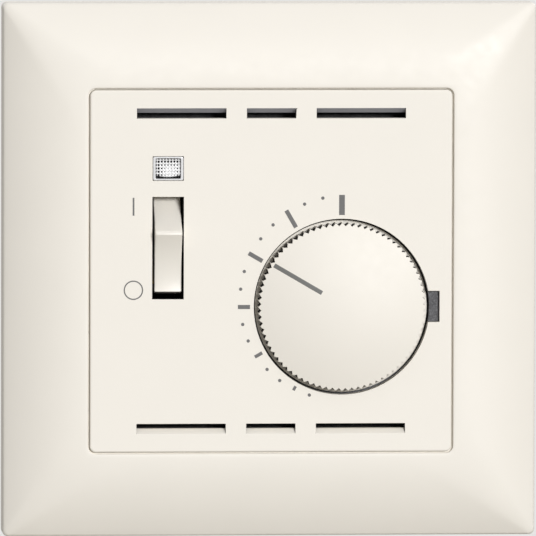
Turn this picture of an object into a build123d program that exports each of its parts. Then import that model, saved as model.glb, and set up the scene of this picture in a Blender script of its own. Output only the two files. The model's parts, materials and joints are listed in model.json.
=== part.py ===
from build123d import *
import math
import os

# Flush-mounted room thermostat with a setting knob, an on/off rocker and an indicator lamp.
# Millimetres. +X is right, +Z is up and +Y goes into the wall. The wall is the plane y = 0,
# and the origin is the centre of the wall-screw circle on that plane. Angles on the dial are
# counter-clockwise from +X, seen from the room.

# Cover frame and centre plate
FRAME_SIZE = 88.0
FRAME_CORNER_R = 0.9
FRAME_BLEND_R = 9.0
FRAME_OPENING = 60.2
FRAME_OPENING_R = 1.2
FRAME_EDGE_R = 0.8
FRAME_WALL = 2.0
FRAME_SKIRT = 1.8
FRAME_SKIRT_END_Y = -1.2
FRAME_SCREW_RELIEF = (10.0, 4.2)
PILLOW_R = 25.9
FRONT_Y = -9.8
PLATE_SIZE = 59.7
PLATE_CORNER_R = 1.0
PLATE_THICKNESS = 2.2
PLATE_SKIRT = 1.3
PLATE_SKIRT_Y = -3.5
PLATE_EDGE_R = 0.3
PLATE_BACK_Y = FRONT_Y + PLATE_THICKNESS

# Air slots in the centre plate: two mirrored rows of three
VENT_Z = 26.0
VENT_HEIGHT = 1.68
VENT_SLOPE_DEPTH = {1: 2.0, -1: 1.0}
VENT_SPANS = ((-14.8, 14.7), (0.0, 8.1), (14.8, 14.7))

# Wall fixing
WALL_SCREW_CIRCLE = 60.0
WALL_SCREW_HOLE_R = 2.1
WALL_SCREW_RELIEF_R = 3.5
STEEL_SIZE = 71.0
STEEL_FRONT_Y = -1.0
STEEL_OPENING = 46.0
STEEL_OPENING_CUT = 7.0
STEEL_CORNER_R = 4.0
PEG_ALONG = 22.0
PEG_OUT = 33.4
PEG_SIZE = (7.0, 1.6)
PEG_SPAN = (-7.8, -0.2)
PEG_CLEARANCE = 0.3

# Chassis and rear housing
CHASSIS_SIZE = 56.4
CHASSIS_CORNER_R = 2.0
CHASSIS_FRONT_Y = -3.0
AIR_SLOT_XS = (-0.5, 5.0, 10.5)
AIR_SLOT_WIDTH = 3.6
AIR_SLOT_Z = (12.6, 21.0)
HOUSING_EDGE_CUT = 0.8
HOUSING_SIZE = 48.0
HOUSING_CUT = 8.0
HOUSING_WALL = 1.6
HOUSING_BACK_Y = 21.0
HOUSING_SCREW_XZ = 18.0
HOUSING_SCREW_R = 1.2
HOUSING_SCREW_HEAD_R = 2.3
HOUSING_SCREW_TIP_Y = -2.85
HOUSING_SCREW_SEAT_Y = 17.5
HOUSING_SCREW_HEAD = 1.8
SCREW_SLOT = 0.7
SCREW_SLOT_Y = 18.5
HOUSING_BOSS_R = 2.8
HOUSING_SPIGOT_R = 2.0
HOOK_Z = 14.0
HOOK_HALF = 2.6
HOOK_LIP = 1.1
HOOK_LIP_Y = (-2.0, -1.3)
HOOK_RECESS_Y = -2.2

# Setting knob and its dial
DIAL_X = 11.65
DIAL_Z = -5.9
DIAL_HOLE_R = 14.5
KNOB_FLANGE_R = 14.2
KNOB_FLANGE_Y = -8.0
KNOB_TIP_R = 13.95
KNOB_TOP_TIP_R = 13.87
KNOB_TOOTH_DEPTH = 0.52
KNOB_TEETH = 80
KNOB_FACE_R = 13.5
KNOB_RIM_R = 0.4
KNOB_SKIRT_Y = -7.4
KNOB_CROWN_Y = -13.0
KNOB_DOME_R = 46.0
KNOB_RING_ROOM = (9.45, 12.3)
KNOB_RING_ROOM_Y = -9.7
KNOB_COLLAR_END_Y = -8.0
KNOB_HUB_R = 5.2
KNOB_HUB_END_Y = -8.8
KNOB_CORE_R = 8.2
KNOB_CORE_Y = -10.6
POINTER_ANGLE = 150.0
POINTER_SPAN = (4.26, 13.2)
POINTER_WIDTH = 0.72
POINTER_OFFSET = -0.4
POINTER_DEPTH = 0.35
POINTER_BACK_Y = -10.0
NOTCH_END_X = 27.81
NOTCH_HEIGHT = 5.13
NOTCH_STEP_Y = -9.0
NOTCH_STEP_GAP = 0.06
SPINDLE_R = 3.0
SPINDLE_FLAT = 2.3
SPINDLE_FRONT_Y = -10.4
SPINDLE_BACK_Y = 5.8
SPINDLE_FLATS_Y = (-8.6, 1.6)
SPINDLE_GROOVE_R = 2.4
SPINDLE_GROOVE_Y = (-0.4, 0.4)
CLIP_R = 4.5
CLIP_GAP = 3.4
SOCKET_FIT = 0.02
BUSH_R = 4.2
BUSH_SPAN = (-8.5, -0.5)
PLATFORM_R = 16.6
PLATFORM_Y = -7.0
PLATFORM_WALL = 1.5
PLATFORM_BOSS_R = 5.0
PLATFORM_STOP_HEIGHT = 0.9
STOP_ANGLE = 330.0
STOP_HALF_WIDTH = 6.0
RING_INNER_R = 9.5
MIN_RING_R = 11.5
MAX_RING_R = 12.2
RING_LUG_Y = -7.2
RING_LUG_HALF_WIDTH = 5.0
MIN_LUG_ANGLE = 218.0
MAX_LUG_ANGLE = 42.0

# Printed scale: bars every 30 degrees, dots every 10 degrees between them
BAR_WIDTHS = {90: 0.94, 120: 0.70, 150: 0.70, 180: 0.68, 210: 0.55, 240: 0.46}
BAR_INNER_R = 15.13
SCALE_OUTER_R = 18.45
DOT_R = 0.275
SCALE_START = 90
SCALE_END = 250
INK = 0.03

# Switch, its marks and the indicator
SWITCH_X = -17.0
SWITCH_Z = 3.84
ROCKER_OPENING = (5.16, 16.85)
ROCKER_RELIEF = 0.95
ROCKER_RELIEF_Y = -8.9
ROCKER_WIDTH = 4.46
ROCKER_BORE_R = 1.1
ROCKER_BORE_Y = 1.6
ROCKER_PIVOT_Y = -0.5
ROCKER_NOSE_R = 12.0
ROCKER_HALF_LENGTH = 9.0
ROCKER_NOSE_SLOPE = 52.0
ROCKER_END_SLOPE = 6.0
ROCKER_TILT = 13.0
ROCKER_WING = 1.7
PLUNGER_R = 1.0
PLUNGER_BACK = 3.2
PLUNGER_TIP = 6.7
SPRING_WIRE_R = 0.14
SPRING_PITCH = 0.42
SPRING_R = 0.75
AXLE_R = 0.9
SWITCH_BODY = (9.0, 21.1)
SWITCH_CAVITY = (5.0, 19.0)
SWITCH_FRONT_Y = -2.8
SWITCH_BACK_Y = 10.5
SWITCH_FLOOR_Y = 9.3
BLADE_PIVOT_Y = 7.3
BLADE_TILT = 8.0
BLADE_SIZE = (4.0, 14.0)
BLADE_LEVEL = (-1.03, -0.63)
CONTACT_ARM = 5.8
FULCRUM_R = 0.5
MARK_X = -22.7
ON_MARK = (0.28, 2.95)
ON_MARK_Z = 10.66
OFF_MARK_Z = -3.09
OFF_MARK_R = 1.6
OFF_MARK_LINE = 0.2
LENS_Z = 16.93
LENS_SIZE = (5.08, 3.98)
LENS_FIELD = (4.1, 3.3)
LENS_PITCH = 0.53

# Thermostat mechanism behind the chassis
LEVER_PIVOT = (-9.0, 1.5)
LEVER_PIN_R = 0.8
LEVER_POST_R = 2.0
LEVER_Y = (2.2, 4.8)
LEVER_END_X = 21.2
LEVER_MIDDLE_Z = 2.0
LEVER_DEPTH = 2.0
LEVER_NOSE_R = 1.5
CAM_Y = (2.0, 5.0)
CAM_R = 4.6
CAM_RISE_PER_DEGREE = 0.01
CAM_GAP = 0.15
CONTACT_X = 16.0
CONTACT_R = 1.2
CONTACT_Y = 3.5
MAGNET_X = 19.7
MAGNET_HALF = 1.3
CALIBRATION_X = -10.0
CALIBRATION_Z = 7.8
CALIBRATION_R = 0.8
CALIBRATION_HEAD_R = 1.4
CALIBRATION_ACCESS_R = 1.6
BIMETAL_Z = (6.0, 6.6)
BIMETAL_Y = (1.9, 5.1)
STRIP_Y = (8.7, 9.1)
TERMINAL_XS = (-12.0, -4.0, 4.0, 12.0)
TERMINAL_Z = -16.0
TERMINAL_SCREW_Y = 14.5
TERMINAL_CAGE_Z = (-20.0, -13.2)
TERMINAL_CAGE_WIDTH = 5.6
TERMINAL_CAGE_Y = 9.1
TERMINAL_WALL_XS = (-8.0, 0.0, 8.0)
TERMINAL_WALL = 1.0
TERMINAL_WALL_TOP = -12.6
TERMINAL_WALL_Y = 9.4
TERMINAL_BORE_R = 1.6
TERMINAL_THREAD_R = 1.25
WIRE_ENTRY_R = 2.1
TERMINAL_ACCESS_R = 2.6
LAMP_Y = -5.2
LAMP_R = 1.4
LAMP_HALF = 3.1
LAMP_LEAD_R = 0.25
LAMP_LEAD_XS = (-21.6, -3.4)
LAMP_LEAD_HOLE_R = 0.5
LAMP_RESISTOR_Y = -4.3
LAMP_RESISTOR_X = (-10.6, -4.6)
HEATER_Y = 7.2
HEATER_Z = 7.6
HEATER_X = (4.0, 11.0)
HEATER_LEAD_R = 0.3
RESISTOR_END_R = 0.5


def front_plane(y):
    """Sketch plane facing the room: local x is +X and local y is +Z."""
    return Plane(origin=(0, y, 0), x_dir=(1, 0, 0), z_dir=(0, -1, 0))


def side_plane(x):
    """Sketch plane facing +X: local x is +Y and local y is +Z."""
    return Plane(origin=(x, 0, 0), x_dir=(0, 1, 0), z_dir=(1, 0, 0))


def slab(outline, y_front, y_back):
    """Front-view outline extruded between two depths."""
    return extrude(front_plane(y_back) * outline, amount=y_back - y_front)


def block(x_span, y_span, z_span):
    """Box between the given limits."""
    spans = (x_span, y_span, z_span)
    middle = [(low + high) / 2 for low, high in spans]
    size = [high - low for low, high in spans]
    return Pos(*middle) * Box(*size)


def rod_y(x, z, radius, y_front, y_back):
    return slab(Pos(x, z) * Circle(radius), y_front, y_back)


def rod_x(y, z, radius, x_left, x_right):
    outline = Pos(y, z) * Circle(radius)
    return extrude(side_plane(x_left) * outline, amount=x_right - x_left)


def rod_z(x, y, radius, z_low, z_high):
    return Pos(x, y, (z_low + z_high) / 2) * Cylinder(radius, z_high - z_low)


def polar(radius, angle):
    """Point at a radius and an angle in degrees."""
    turn = math.radians(angle)
    return (radius * math.cos(turn), radius * math.sin(turn))


def cut_square(size, cut):
    """Square outline with its four corners cut off."""
    return chamfer(Rectangle(size, size).vertices(), cut)


def sector(inner_r, outer_r, angle, half_width):
    """Piece of a ring about the dial's axis."""
    start = angle - half_width
    stop = angle + half_width
    outer = CenterArc((0, 0), outer_r, start, stop - start)
    inner = CenterArc((0, 0), inner_r, start, stop - start)
    sides = [Line(inner @ 0, outer @ 0), Line(inner @ 1, outer @ 1)]
    return Pos(DIAL_X, DIAL_Z) * make_face([outer, inner] + sides)


def about_dial(outline):
    return Pos(DIAL_X, DIAL_Z) * outline


def four_sides(piece):
    """The same piece on all four sides of the square."""
    return [Rot(0, 90 * turn, 0) * piece for turn in range(4)]


# Cover frame and centre plate ----------------------------------------------------------------


def pillow_depth(inset):
    """Depth of the frame's face at a distance in from its outer edge."""
    run = (FRAME_SIZE - FRAME_OPENING) / 2 - inset
    return FRONT_Y + PILLOW_R - math.sqrt(PILLOW_R**2 - run**2)


def frame_outline(inset):
    """Contour of the frame's face: its corners grow rounder towards the opening."""
    share = inset / ((FRAME_SIZE - FRAME_OPENING) / 2)
    radius = FRAME_CORNER_R + share * (FRAME_BLEND_R - FRAME_CORNER_R)
    size = FRAME_SIZE - 2 * inset
    return RectangleRounded(size, size, radius)


def frame_solid():
    """Outer shape of the cover frame, still without its opening."""
    edge_turn = 58.0
    edge_inset = FRAME_EDGE_R * (1 - math.cos(math.radians(edge_turn)))
    edge_y = pillow_depth(edge_inset) + FRAME_EDGE_R * math.sin(math.radians(edge_turn))
    wall = slab(frame_outline(0), edge_y, 0)
    edge_levels = []
    for turn in (0, 20, 40, edge_turn):
        inset = FRAME_EDGE_R * (1 - math.cos(math.radians(turn)))
        depth = edge_y - FRAME_EDGE_R * math.sin(math.radians(turn))
        edge_levels.append(front_plane(depth) * frame_outline(inset))
    edge = loft(edge_levels, ruled=True)
    band = (FRAME_SIZE - FRAME_OPENING) / 2
    insets = [edge_inset + (band - edge_inset) * step / 7 for step in range(8)]
    face = loft([front_plane(pillow_depth(inset)) * frame_outline(inset) for inset in insets])
    return wall + edge + face


def frame_hollow():
    """Space behind the frame's face, between its outer wall and the skirt of the opening."""
    insets = [FRAME_WALL + 2.6 * step for step in range(5)]
    levels = []
    for inset in insets:
        depth = pillow_depth(inset) + FRAME_WALL
        levels.append(front_plane(depth) * frame_outline(inset))
    under_face = loft(levels, ruled=True)
    behind = slab(frame_outline(FRAME_WALL), pillow_depth(FRAME_WALL) + FRAME_WALL, 0)
    skirt_size = FRAME_OPENING + 2 * FRAME_SKIRT
    core = slab(Rectangle(skirt_size, skirt_size), FRONT_Y, 0)
    return under_face + behind - core


def make_cover_frame():
    """Rounded square frame that clips to the steel plate with eight pegs."""
    opening = slab(RectangleRounded(FRAME_OPENING, FRAME_OPENING, FRAME_OPENING_R), -20, 1)
    frame = frame_solid() - frame_hollow() - opening
    skirt_half = FRAME_OPENING / 2 + FRAME_SKIRT
    skirt_size = 2 * skirt_half + 0.1
    frame -= slab(Rectangle(skirt_size, skirt_size), FRAME_SKIRT_END_Y, 0.1)
    width, depth = FRAME_SCREW_RELIEF
    past_skirt = (FRAME_OPENING / 2 - 1, skirt_half + 0.1)
    screw_relief = block((-width / 2, width / 2), (-depth, 0), past_skirt)
    for relief in four_sides(screw_relief):
        frame -= relief
    length, width = PEG_SIZE
    for along in (-PEG_ALONG, PEG_ALONG):
        peg = block(
            (along - length / 2, along + length / 2),
            PEG_SPAN,
            (PEG_OUT - width / 2, PEG_OUT + width / 2),
        )
        for turned in four_sides(peg):
            frame += turned
    return frame


def vent(centre_x, length, side):
    """Slot whose outer wall slopes in, so that only half its height goes right through."""
    centre_z = side * VENT_Z
    inner_z = centre_z - side * VENT_HEIGHT / 2
    outer_z = centre_z + side * VENT_HEIGHT / 2
    outline = Polygon(
        (FRONT_Y - 0.01, inner_z),
        (FRONT_Y - 0.01, outer_z),
        (FRONT_Y + VENT_SLOPE_DEPTH[side], centre_z),
        (PLATE_BACK_Y, centre_z),
        (PLATE_BACK_Y, inner_z),
        align=None,
    )
    return extrude(side_plane(centre_x) * outline, amount=length / 2, both=True)


def plate_hooks():
    """Four snap hooks that grip the left and right edges of the chassis."""
    half = PLATE_SIZE / 2
    inside = half - PLATE_SKIRT
    span = (HOOK_Z - HOOK_HALF, HOOK_Z + HOOK_HALF)
    arm = block((inside, half), (PLATE_SKIRT_Y, HOOK_LIP_Y[1]), span)
    lip = block((inside - HOOK_LIP, inside), HOOK_LIP_Y, span)
    hook = arm + lip
    upper = [hook, mirror(hook, about=Plane.YZ)]
    lower = [mirror(piece, about=Plane.XY) for piece in upper]
    return upper + lower


def make_cover_plate():
    """Centre plate with the dial hole, rocker opening, lens window, air slots and a skirt."""
    face = slab(RectangleRounded(PLATE_SIZE, PLATE_SIZE, PLATE_CORNER_R), FRONT_Y, PLATE_BACK_Y)
    front_edges = face.faces().sort_by(Axis.Y)[0].edges()
    plate = fillet(front_edges, PLATE_EDGE_R)
    inner = PLATE_SIZE - 2 * PLATE_SKIRT
    ring = RectangleRounded(PLATE_SIZE, PLATE_SIZE, PLATE_CORNER_R) - Rectangle(inner, inner)
    plate += slab(ring, PLATE_BACK_Y, PLATE_SKIRT_Y)
    for hook in plate_hooks():
        plate += hook
    plate -= slab(about_dial(Circle(DIAL_HOLE_R)), FRONT_Y - 1, PLATE_BACK_Y + 1)
    notch_z = (DIAL_Z - NOTCH_HEIGHT / 2, DIAL_Z + NOTCH_HEIGHT / 2)
    plate -= block((DIAL_X + 12, NOTCH_END_X), (FRONT_Y - 1, PLATE_BACK_Y), notch_z)
    rocker_hole = Pos(SWITCH_X, SWITCH_Z) * Rectangle(*ROCKER_OPENING)
    plate -= slab(rocker_hole, FRONT_Y - 1, PLATE_BACK_Y + 1)
    swing_room = Rectangle(ROCKER_OPENING[0], ROCKER_OPENING[1] + 2 * ROCKER_RELIEF)
    plate -= slab(Pos(SWITCH_X, SWITCH_Z) * swing_room, ROCKER_RELIEF_Y, PLATE_BACK_Y + 1)
    window = Pos(SWITCH_X, LENS_Z) * Rectangle(LENS_SIZE[0] + 0.04, LENS_SIZE[1] + 0.04)
    plate -= slab(window, FRONT_Y - 1, PLATE_BACK_Y + 1)
    for centre_x, length in VENT_SPANS:
        for side in (-1, 1):
            plate -= vent(centre_x, length, side)
    return plate


def make_indicator_lens():
    """Clear lens with a flange behind the plate and rows of small pyramids inside."""
    width, height = LENS_SIZE
    here = Pos(SWITCH_X, LENS_Z)
    lens = slab(here * RectangleRounded(width, height, 0.3), FRONT_Y - 0.03, PLATE_BACK_Y)
    lens += slab(here * Rectangle(width + 0.8, height + 0.8), PLATE_BACK_Y, PLATE_BACK_Y + 0.6)
    recess_y = FRONT_Y + 1.0
    lens -= slab(here * Rectangle(*LENS_FIELD), recess_y, PLATE_BACK_Y + 1)
    depth = LENS_PITCH / 2
    groove = Polygon((-depth, 0), (depth, 0), (0, depth), align=None)
    upright = Plane(origin=(0, recess_y, LENS_Z), x_dir=(1, 0, 0), z_dir=(0, 0, 1))
    level = Plane(origin=(SWITCH_X, recess_y, 0), x_dir=(0, 0, 1), z_dir=(-1, 0, 0))
    for step in range(-3, 4):
        offset = step * LENS_PITCH
        across = Pos(SWITCH_X + offset, 0) * Rot(0, 0, 180) * groove
        lens -= extrude(upright * across, amount=LENS_FIELD[1] / 2, both=True)
    for step in range(-2, 3):
        offset = step * LENS_PITCH
        along = Pos(LENS_Z + offset, 0) * Rot(0, 0, 180) * groove
        lens -= extrude(level * along, amount=LENS_FIELD[0] / 2, both=True)
    return lens


def make_scale_marks():
    """Printed bars and dots around the dial."""
    marks = []
    for angle in range(SCALE_START, SCALE_END + 1, 10):
        if angle in BAR_WIDTHS:
            outer = min(SCALE_OUTER_R, 18.36 - 0.0205 * (angle - 120))
            length = outer - BAR_INNER_R
            bar = Pos((outer + BAR_INNER_R) / 2, 0) * Rectangle(length, BAR_WIDTHS[angle])
            marks.append(about_dial(Rot(0, 0, angle) * bar))
        else:
            x, z = polar(18.2 - 0.018 * (angle - 100), angle)
            marks.append(about_dial(Pos(x, z) * Circle(DOT_R)))
    return [slab(mark, FRONT_Y - INK, FRONT_Y) for mark in marks]


def make_switch_marks():
    """Printed on bar and off ring beside the rocker."""
    bar = Pos(MARK_X, ON_MARK_Z) * Rectangle(*ON_MARK)
    ring = Circle(OFF_MARK_R) - Circle(OFF_MARK_R - OFF_MARK_LINE)
    ring = Pos(MARK_X, OFF_MARK_Z) * ring
    return [slab(bar, FRONT_Y - INK, FRONT_Y), slab(ring, FRONT_Y - INK, FRONT_Y)]


# Plates and housing --------------------------------------------------------------------------


def make_mounting_plate():
    """Steel plate screwed to the wall box, with windows for the frame's pegs."""
    outline = RectangleRounded(STEEL_SIZE, STEEL_SIZE, STEEL_CORNER_R)
    outline -= cut_square(STEEL_OPENING, STEEL_OPENING_CUT)
    plate = slab(outline, STEEL_FRONT_Y, 0)
    screw_hole = rod_y(0, WALL_SCREW_CIRCLE / 2, WALL_SCREW_HOLE_R, STEEL_FRONT_Y - 1, 1)
    for hole in four_sides(screw_hole):
        plate -= hole
    length = PEG_SIZE[0] + 2 * PEG_CLEARANCE
    width = PEG_SIZE[1] + 2 * PEG_CLEARANCE
    for along in (-PEG_ALONG, PEG_ALONG):
        window = block(
            (along - length / 2, along + length / 2),
            (STEEL_FRONT_Y - 1, 1),
            (PEG_OUT - width / 2, PEG_OUT + width / 2),
        )
        for turned in four_sides(window):
            plate -= turned
    return plate


def screw_places():
    """The four housing screws, as (x, z)."""
    return [(x * HOUSING_SCREW_XZ, z * HOUSING_SCREW_XZ) for x in (-1, 1) for z in (-1, 1)]


def dial_platform():
    """Round platform under the knob, with the spindle boss and the stop for the limit rings."""
    under_y = PLATFORM_Y + PLATFORM_WALL
    top = slab(about_dial(Circle(PLATFORM_R)), PLATFORM_Y, under_y)
    ring = Circle(PLATFORM_R) - Circle(PLATFORM_R - PLATFORM_WALL)
    wall = slab(about_dial(ring), under_y, CHASSIS_FRONT_Y)
    boss = rod_y(DIAL_X, DIAL_Z, PLATFORM_BOSS_R, BUSH_SPAN[0], STEEL_FRONT_Y)
    lug = sector(RING_INNER_R, MAX_RING_R, STOP_ANGLE, STOP_HALF_WIDTH)
    stop = slab(lug, PLATFORM_Y - PLATFORM_STOP_HEIGHT, PLATFORM_Y)
    return [top, wall, boss, stop, notch_step()]


def notch_step():
    """Step of the platform that shows in the plate's notch, beside the knob."""
    half = NOTCH_HEIGHT / 2 - NOTCH_STEP_GAP
    step = block(
        (DIAL_X + 12, NOTCH_END_X - NOTCH_STEP_GAP),
        (NOTCH_STEP_Y, PLATFORM_Y),
        (DIAL_Z - half, DIAL_Z + half),
    )
    return step - rod_y(DIAL_X, DIAL_Z, DIAL_HOLE_R, NOTCH_STEP_Y - 1, PLATFORM_Y)


def make_chassis():
    """Dark moulded chassis that carries the knob platform, the switch and the lamp."""
    outline = RectangleRounded(CHASSIS_SIZE, CHASSIS_SIZE, CHASSIS_CORNER_R)
    chassis = slab(outline, CHASSIS_FRONT_Y, STEEL_FRONT_Y)
    through = (CHASSIS_FRONT_Y - 1, 0)
    for relief in four_sides(rod_y(0, WALL_SCREW_CIRCLE / 2, WALL_SCREW_RELIEF_R, *through)):
        chassis -= relief
    switch_hole = Rectangle(SWITCH_BODY[0] + 0.4, SWITCH_BODY[1] + 0.4)
    chassis -= slab(Pos(SWITCH_X, SWITCH_Z) * switch_hole, *through)
    for x in AIR_SLOT_XS:
        chassis -= block((x - AIR_SLOT_WIDTH / 2, x + AIR_SLOT_WIDTH / 2), through, AIR_SLOT_Z)
    for piece in dial_platform():
        chassis += piece
    chassis -= rod_y(DIAL_X, DIAL_Z, BUSH_R, BUSH_SPAN[0] - 1, 0)
    pivot_x, pivot_z = LEVER_PIVOT
    chassis += rod_y(pivot_x, pivot_z, LEVER_POST_R, STEEL_FRONT_Y, LEVER_Y[0] - 0.3)
    chassis -= rod_y(pivot_x, pivot_z, LEVER_PIN_R, -2.5, LEVER_Y[0])
    for x, z in screw_places():
        chassis -= rod_y(x, z, HOUSING_SCREW_R, HOUSING_SCREW_TIP_Y - 0.05, 0)
    chassis -= rod_y(CALIBRATION_X, CALIBRATION_Z, CALIBRATION_ACCESS_R, *through)
    for x in LAMP_LEAD_XS:
        chassis -= rod_y(x, LENS_Z, LAMP_LEAD_HOLE_R, *through)
    recess_z = (HOOK_Z - HOOK_HALF - 0.4, HOOK_Z + HOOK_HALF + 0.4)
    recess = block((CHASSIS_SIZE / 2 - 1, CHASSIS_SIZE / 2 + 1), (HOOK_RECESS_Y, 0), recess_z)
    for side in (recess, mirror(recess, about=Plane.YZ)):
        chassis -= side
        chassis -= mirror(side, about=Plane.XY)
    return chassis


def make_rear_housing():
    """Dark box behind the steel plate, with screw bosses and terminal pockets."""
    inner_size = HOUSING_SIZE - 2 * HOUSING_WALL
    inner_cut = HOUSING_CUT - HOUSING_WALL * (2 - math.sqrt(2))
    floor_y = HOUSING_BACK_Y - HOUSING_WALL
    outer = slab(cut_square(HOUSING_SIZE, HOUSING_CUT), 0, HOUSING_BACK_Y)
    outer = chamfer(outer.faces().sort_by(Axis.Y)[-1].edges(), HOUSING_EDGE_CUT)
    housing = outer - slab(cut_square(inner_size, inner_cut), -1, floor_y)
    for x, z in screw_places():
        housing += rod_y(x, z, HOUSING_BOSS_R, 0, floor_y)
        housing += rod_y(x, z, HOUSING_SPIGOT_R, STEEL_FRONT_Y, 0)
    for x, z in screw_places():
        housing -= rod_y(x, z, HOUSING_SCREW_R + 0.1, -2, HOUSING_BACK_Y)
        head_room = HOUSING_SCREW_HEAD_R + 0.1
        housing -= rod_y(x, z, head_room, HOUSING_SCREW_SEAT_Y, HOUSING_BACK_Y + 1)
    for x in TERMINAL_WALL_XS:
        wall_x = (x - TERMINAL_WALL / 2, x + TERMINAL_WALL / 2)
        housing += block(wall_x, (TERMINAL_WALL_Y, floor_y), (-inner_size / 2, TERMINAL_WALL_TOP))
    under_z = (-HOUSING_SIZE / 2 - 1, -inner_size / 2 + 0.5)
    for x in TERMINAL_XS:
        housing -= rod_y(x, TERMINAL_Z, WIRE_ENTRY_R, floor_y - 0.1, HOUSING_BACK_Y + 1)
        housing -= rod_z(x, TERMINAL_SCREW_Y, TERMINAL_ACCESS_R, *under_z)
    return housing


def make_housing_screws():
    """Four long screws from the back of the housing into the chassis."""
    screws = []
    for x, z in screw_places():
        head_back = HOUSING_SCREW_SEAT_Y + HOUSING_SCREW_HEAD
        slot_y = (SCREW_SLOT_Y, head_back + 1)
        screw = rod_y(x, z, HOUSING_SCREW_R, HOUSING_SCREW_TIP_Y, HOUSING_SCREW_SEAT_Y)
        screw += rod_y(x, z, HOUSING_SCREW_HEAD_R, HOUSING_SCREW_SEAT_Y, head_back)
        screw -= block((x - 3, x + 3), slot_y, (z - SCREW_SLOT / 2, z + SCREW_SLOT / 2))
        screw -= block((x - SCREW_SLOT / 2, x + SCREW_SLOT / 2), slot_y, (z - 3, z + 3))
        screws.append(screw)
    return screws


# Knob and spindle ----------------------------------------------------------------------------


def flat_shaft(radius, flat):
    """Round section with one flat side, on the side away from the pointer's zero."""
    return Circle(radius) & Pos(flat - radius, 0) * Rectangle(2 * radius, 3 * radius)


def toothed_outline(tip_r):
    """Ring of sharp V teeth."""
    points = []
    for tooth in range(KNOB_TEETH):
        angle = 360 / KNOB_TEETH * tooth
        points.append(polar(tip_r, angle))
        points.append(polar(tip_r - KNOB_TOOTH_DEPTH, angle + 180 / KNOB_TEETH))
    return Polygon(*points, align=None)


def dome_depth(radius):
    """Depth of the knob's convex face at a distance from its axis."""
    return KNOB_CROWN_Y + KNOB_DOME_R - math.sqrt(KNOB_DOME_R**2 - radius**2)


def knob_envelope():
    """Turned shape that gives the knob its dome and its rounded rim."""
    rim_y = dome_depth(KNOB_FACE_R)
    half_way = KNOB_FACE_R / 2
    dome = ThreePointArc(
        (0, -KNOB_CROWN_Y), (half_way, -dome_depth(half_way)), (KNOB_FACE_R, -rim_y)
    )
    out, down = polar(KNOB_RIM_R, 45)
    rim = ThreePointArc(
        (KNOB_FACE_R, -rim_y),
        (KNOB_FACE_R + out, -rim_y - KNOB_RIM_R + down),
        (KNOB_FACE_R + KNOB_RIM_R, -rim_y - KNOB_RIM_R),
    )
    sides = Polyline(
        rim @ 1, (KNOB_TIP_R + 0.5, -KNOB_SKIRT_Y), (0, -KNOB_SKIRT_Y), (0, -KNOB_CROWN_Y)
    )
    section = make_face([dome, rim, sides])
    return revolve(Plane.XZ * section, Axis.Z)


def dial_solid(turned):
    """Move a shape turned about +Z to the dial's axis, with its top towards the room."""
    return Pos(DIAL_X, 0, DIAL_Z) * Rot(90, 0, 0) * turned


def pointer_bar():
    """Straight bar along the pointer's line, through the knob's face."""
    inner, outer = POINTER_SPAN
    bar = Pos((inner + outer) / 2, POINTER_OFFSET) * Rectangle(outer - inner, POINTER_WIDTH)
    return slab(about_dial(Rot(0, 0, POINTER_ANGLE) * bar), KNOB_CROWN_Y - 1, POINTER_BACK_Y)


def pointer_floor():
    """Turned shape that follows the dome, sunk by the pointer's depth."""
    return Pos(0, POINTER_DEPTH, 0) * dial_solid(knob_envelope())


def make_knob():
    """Toothed knob with a domed face, a hub for the spindle and a collar for the limit rings."""
    levels = [
        front_plane(KNOB_FLANGE_Y) * about_dial(toothed_outline(KNOB_TIP_R)),
        front_plane(KNOB_CROWN_Y - 0.2) * about_dial(toothed_outline(KNOB_TOP_TIP_R)),
    ]
    knob = loft(levels, ruled=True) & dial_solid(knob_envelope())
    knob += slab(about_dial(Circle(KNOB_FLANGE_R)), KNOB_FLANGE_Y, KNOB_SKIRT_Y)
    past_skirt = KNOB_SKIRT_Y + 1
    ring_inner, ring_outer = KNOB_RING_ROOM
    knob -= slab(about_dial(Circle(ring_outer) - Circle(ring_inner)), KNOB_RING_ROOM_Y, past_skirt)
    knob -= slab(about_dial(Circle(ring_inner)), KNOB_COLLAR_END_Y, past_skirt)
    knob -= slab(about_dial(Circle(KNOB_CORE_R) - Circle(KNOB_HUB_R)), KNOB_CORE_Y, past_skirt)
    knob -= slab(about_dial(Circle(KNOB_HUB_R)), KNOB_HUB_END_Y, past_skirt)
    socket = flat_shaft(SPINDLE_R + SOCKET_FIT, SPINDLE_FLAT + SOCKET_FIT)
    knob -= slab(about_dial(socket), SPINDLE_FRONT_Y - 0.1, past_skirt)
    knob -= pointer_bar() - pointer_floor()
    return knob


def make_knob_pointer():
    """Grey pointer let into the knob's face."""
    return (pointer_bar() & dial_solid(knob_envelope())) - pointer_floor()


def limit_ring(outer_r, y_front, y_back, lug):
    """Ring on the knob's collar with a lug that meets the chassis stop."""
    ring = about_dial(Circle(outer_r) - Circle(RING_INNER_R))
    return slab(ring, y_front, y_back) + slab(lug, y_back, RING_LUG_Y)


def make_min_limit_ring():
    """Inner ring: its lug takes the ring's whole width."""
    lug = sector(RING_INNER_R, MIN_RING_R, MIN_LUG_ANGLE, RING_LUG_HALF_WIDTH)
    return limit_ring(MIN_RING_R, -8.8, -8.0, lug)


def make_max_limit_ring():
    """Outer ring: it is wider, so that its lug reaches down past the inner ring."""
    lug = sector(MIN_RING_R + 0.1, MAX_RING_R, MAX_LUG_ANGLE, RING_LUG_HALF_WIDTH)
    return limit_ring(MAX_RING_R, -9.65, -8.85, lug)


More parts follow.
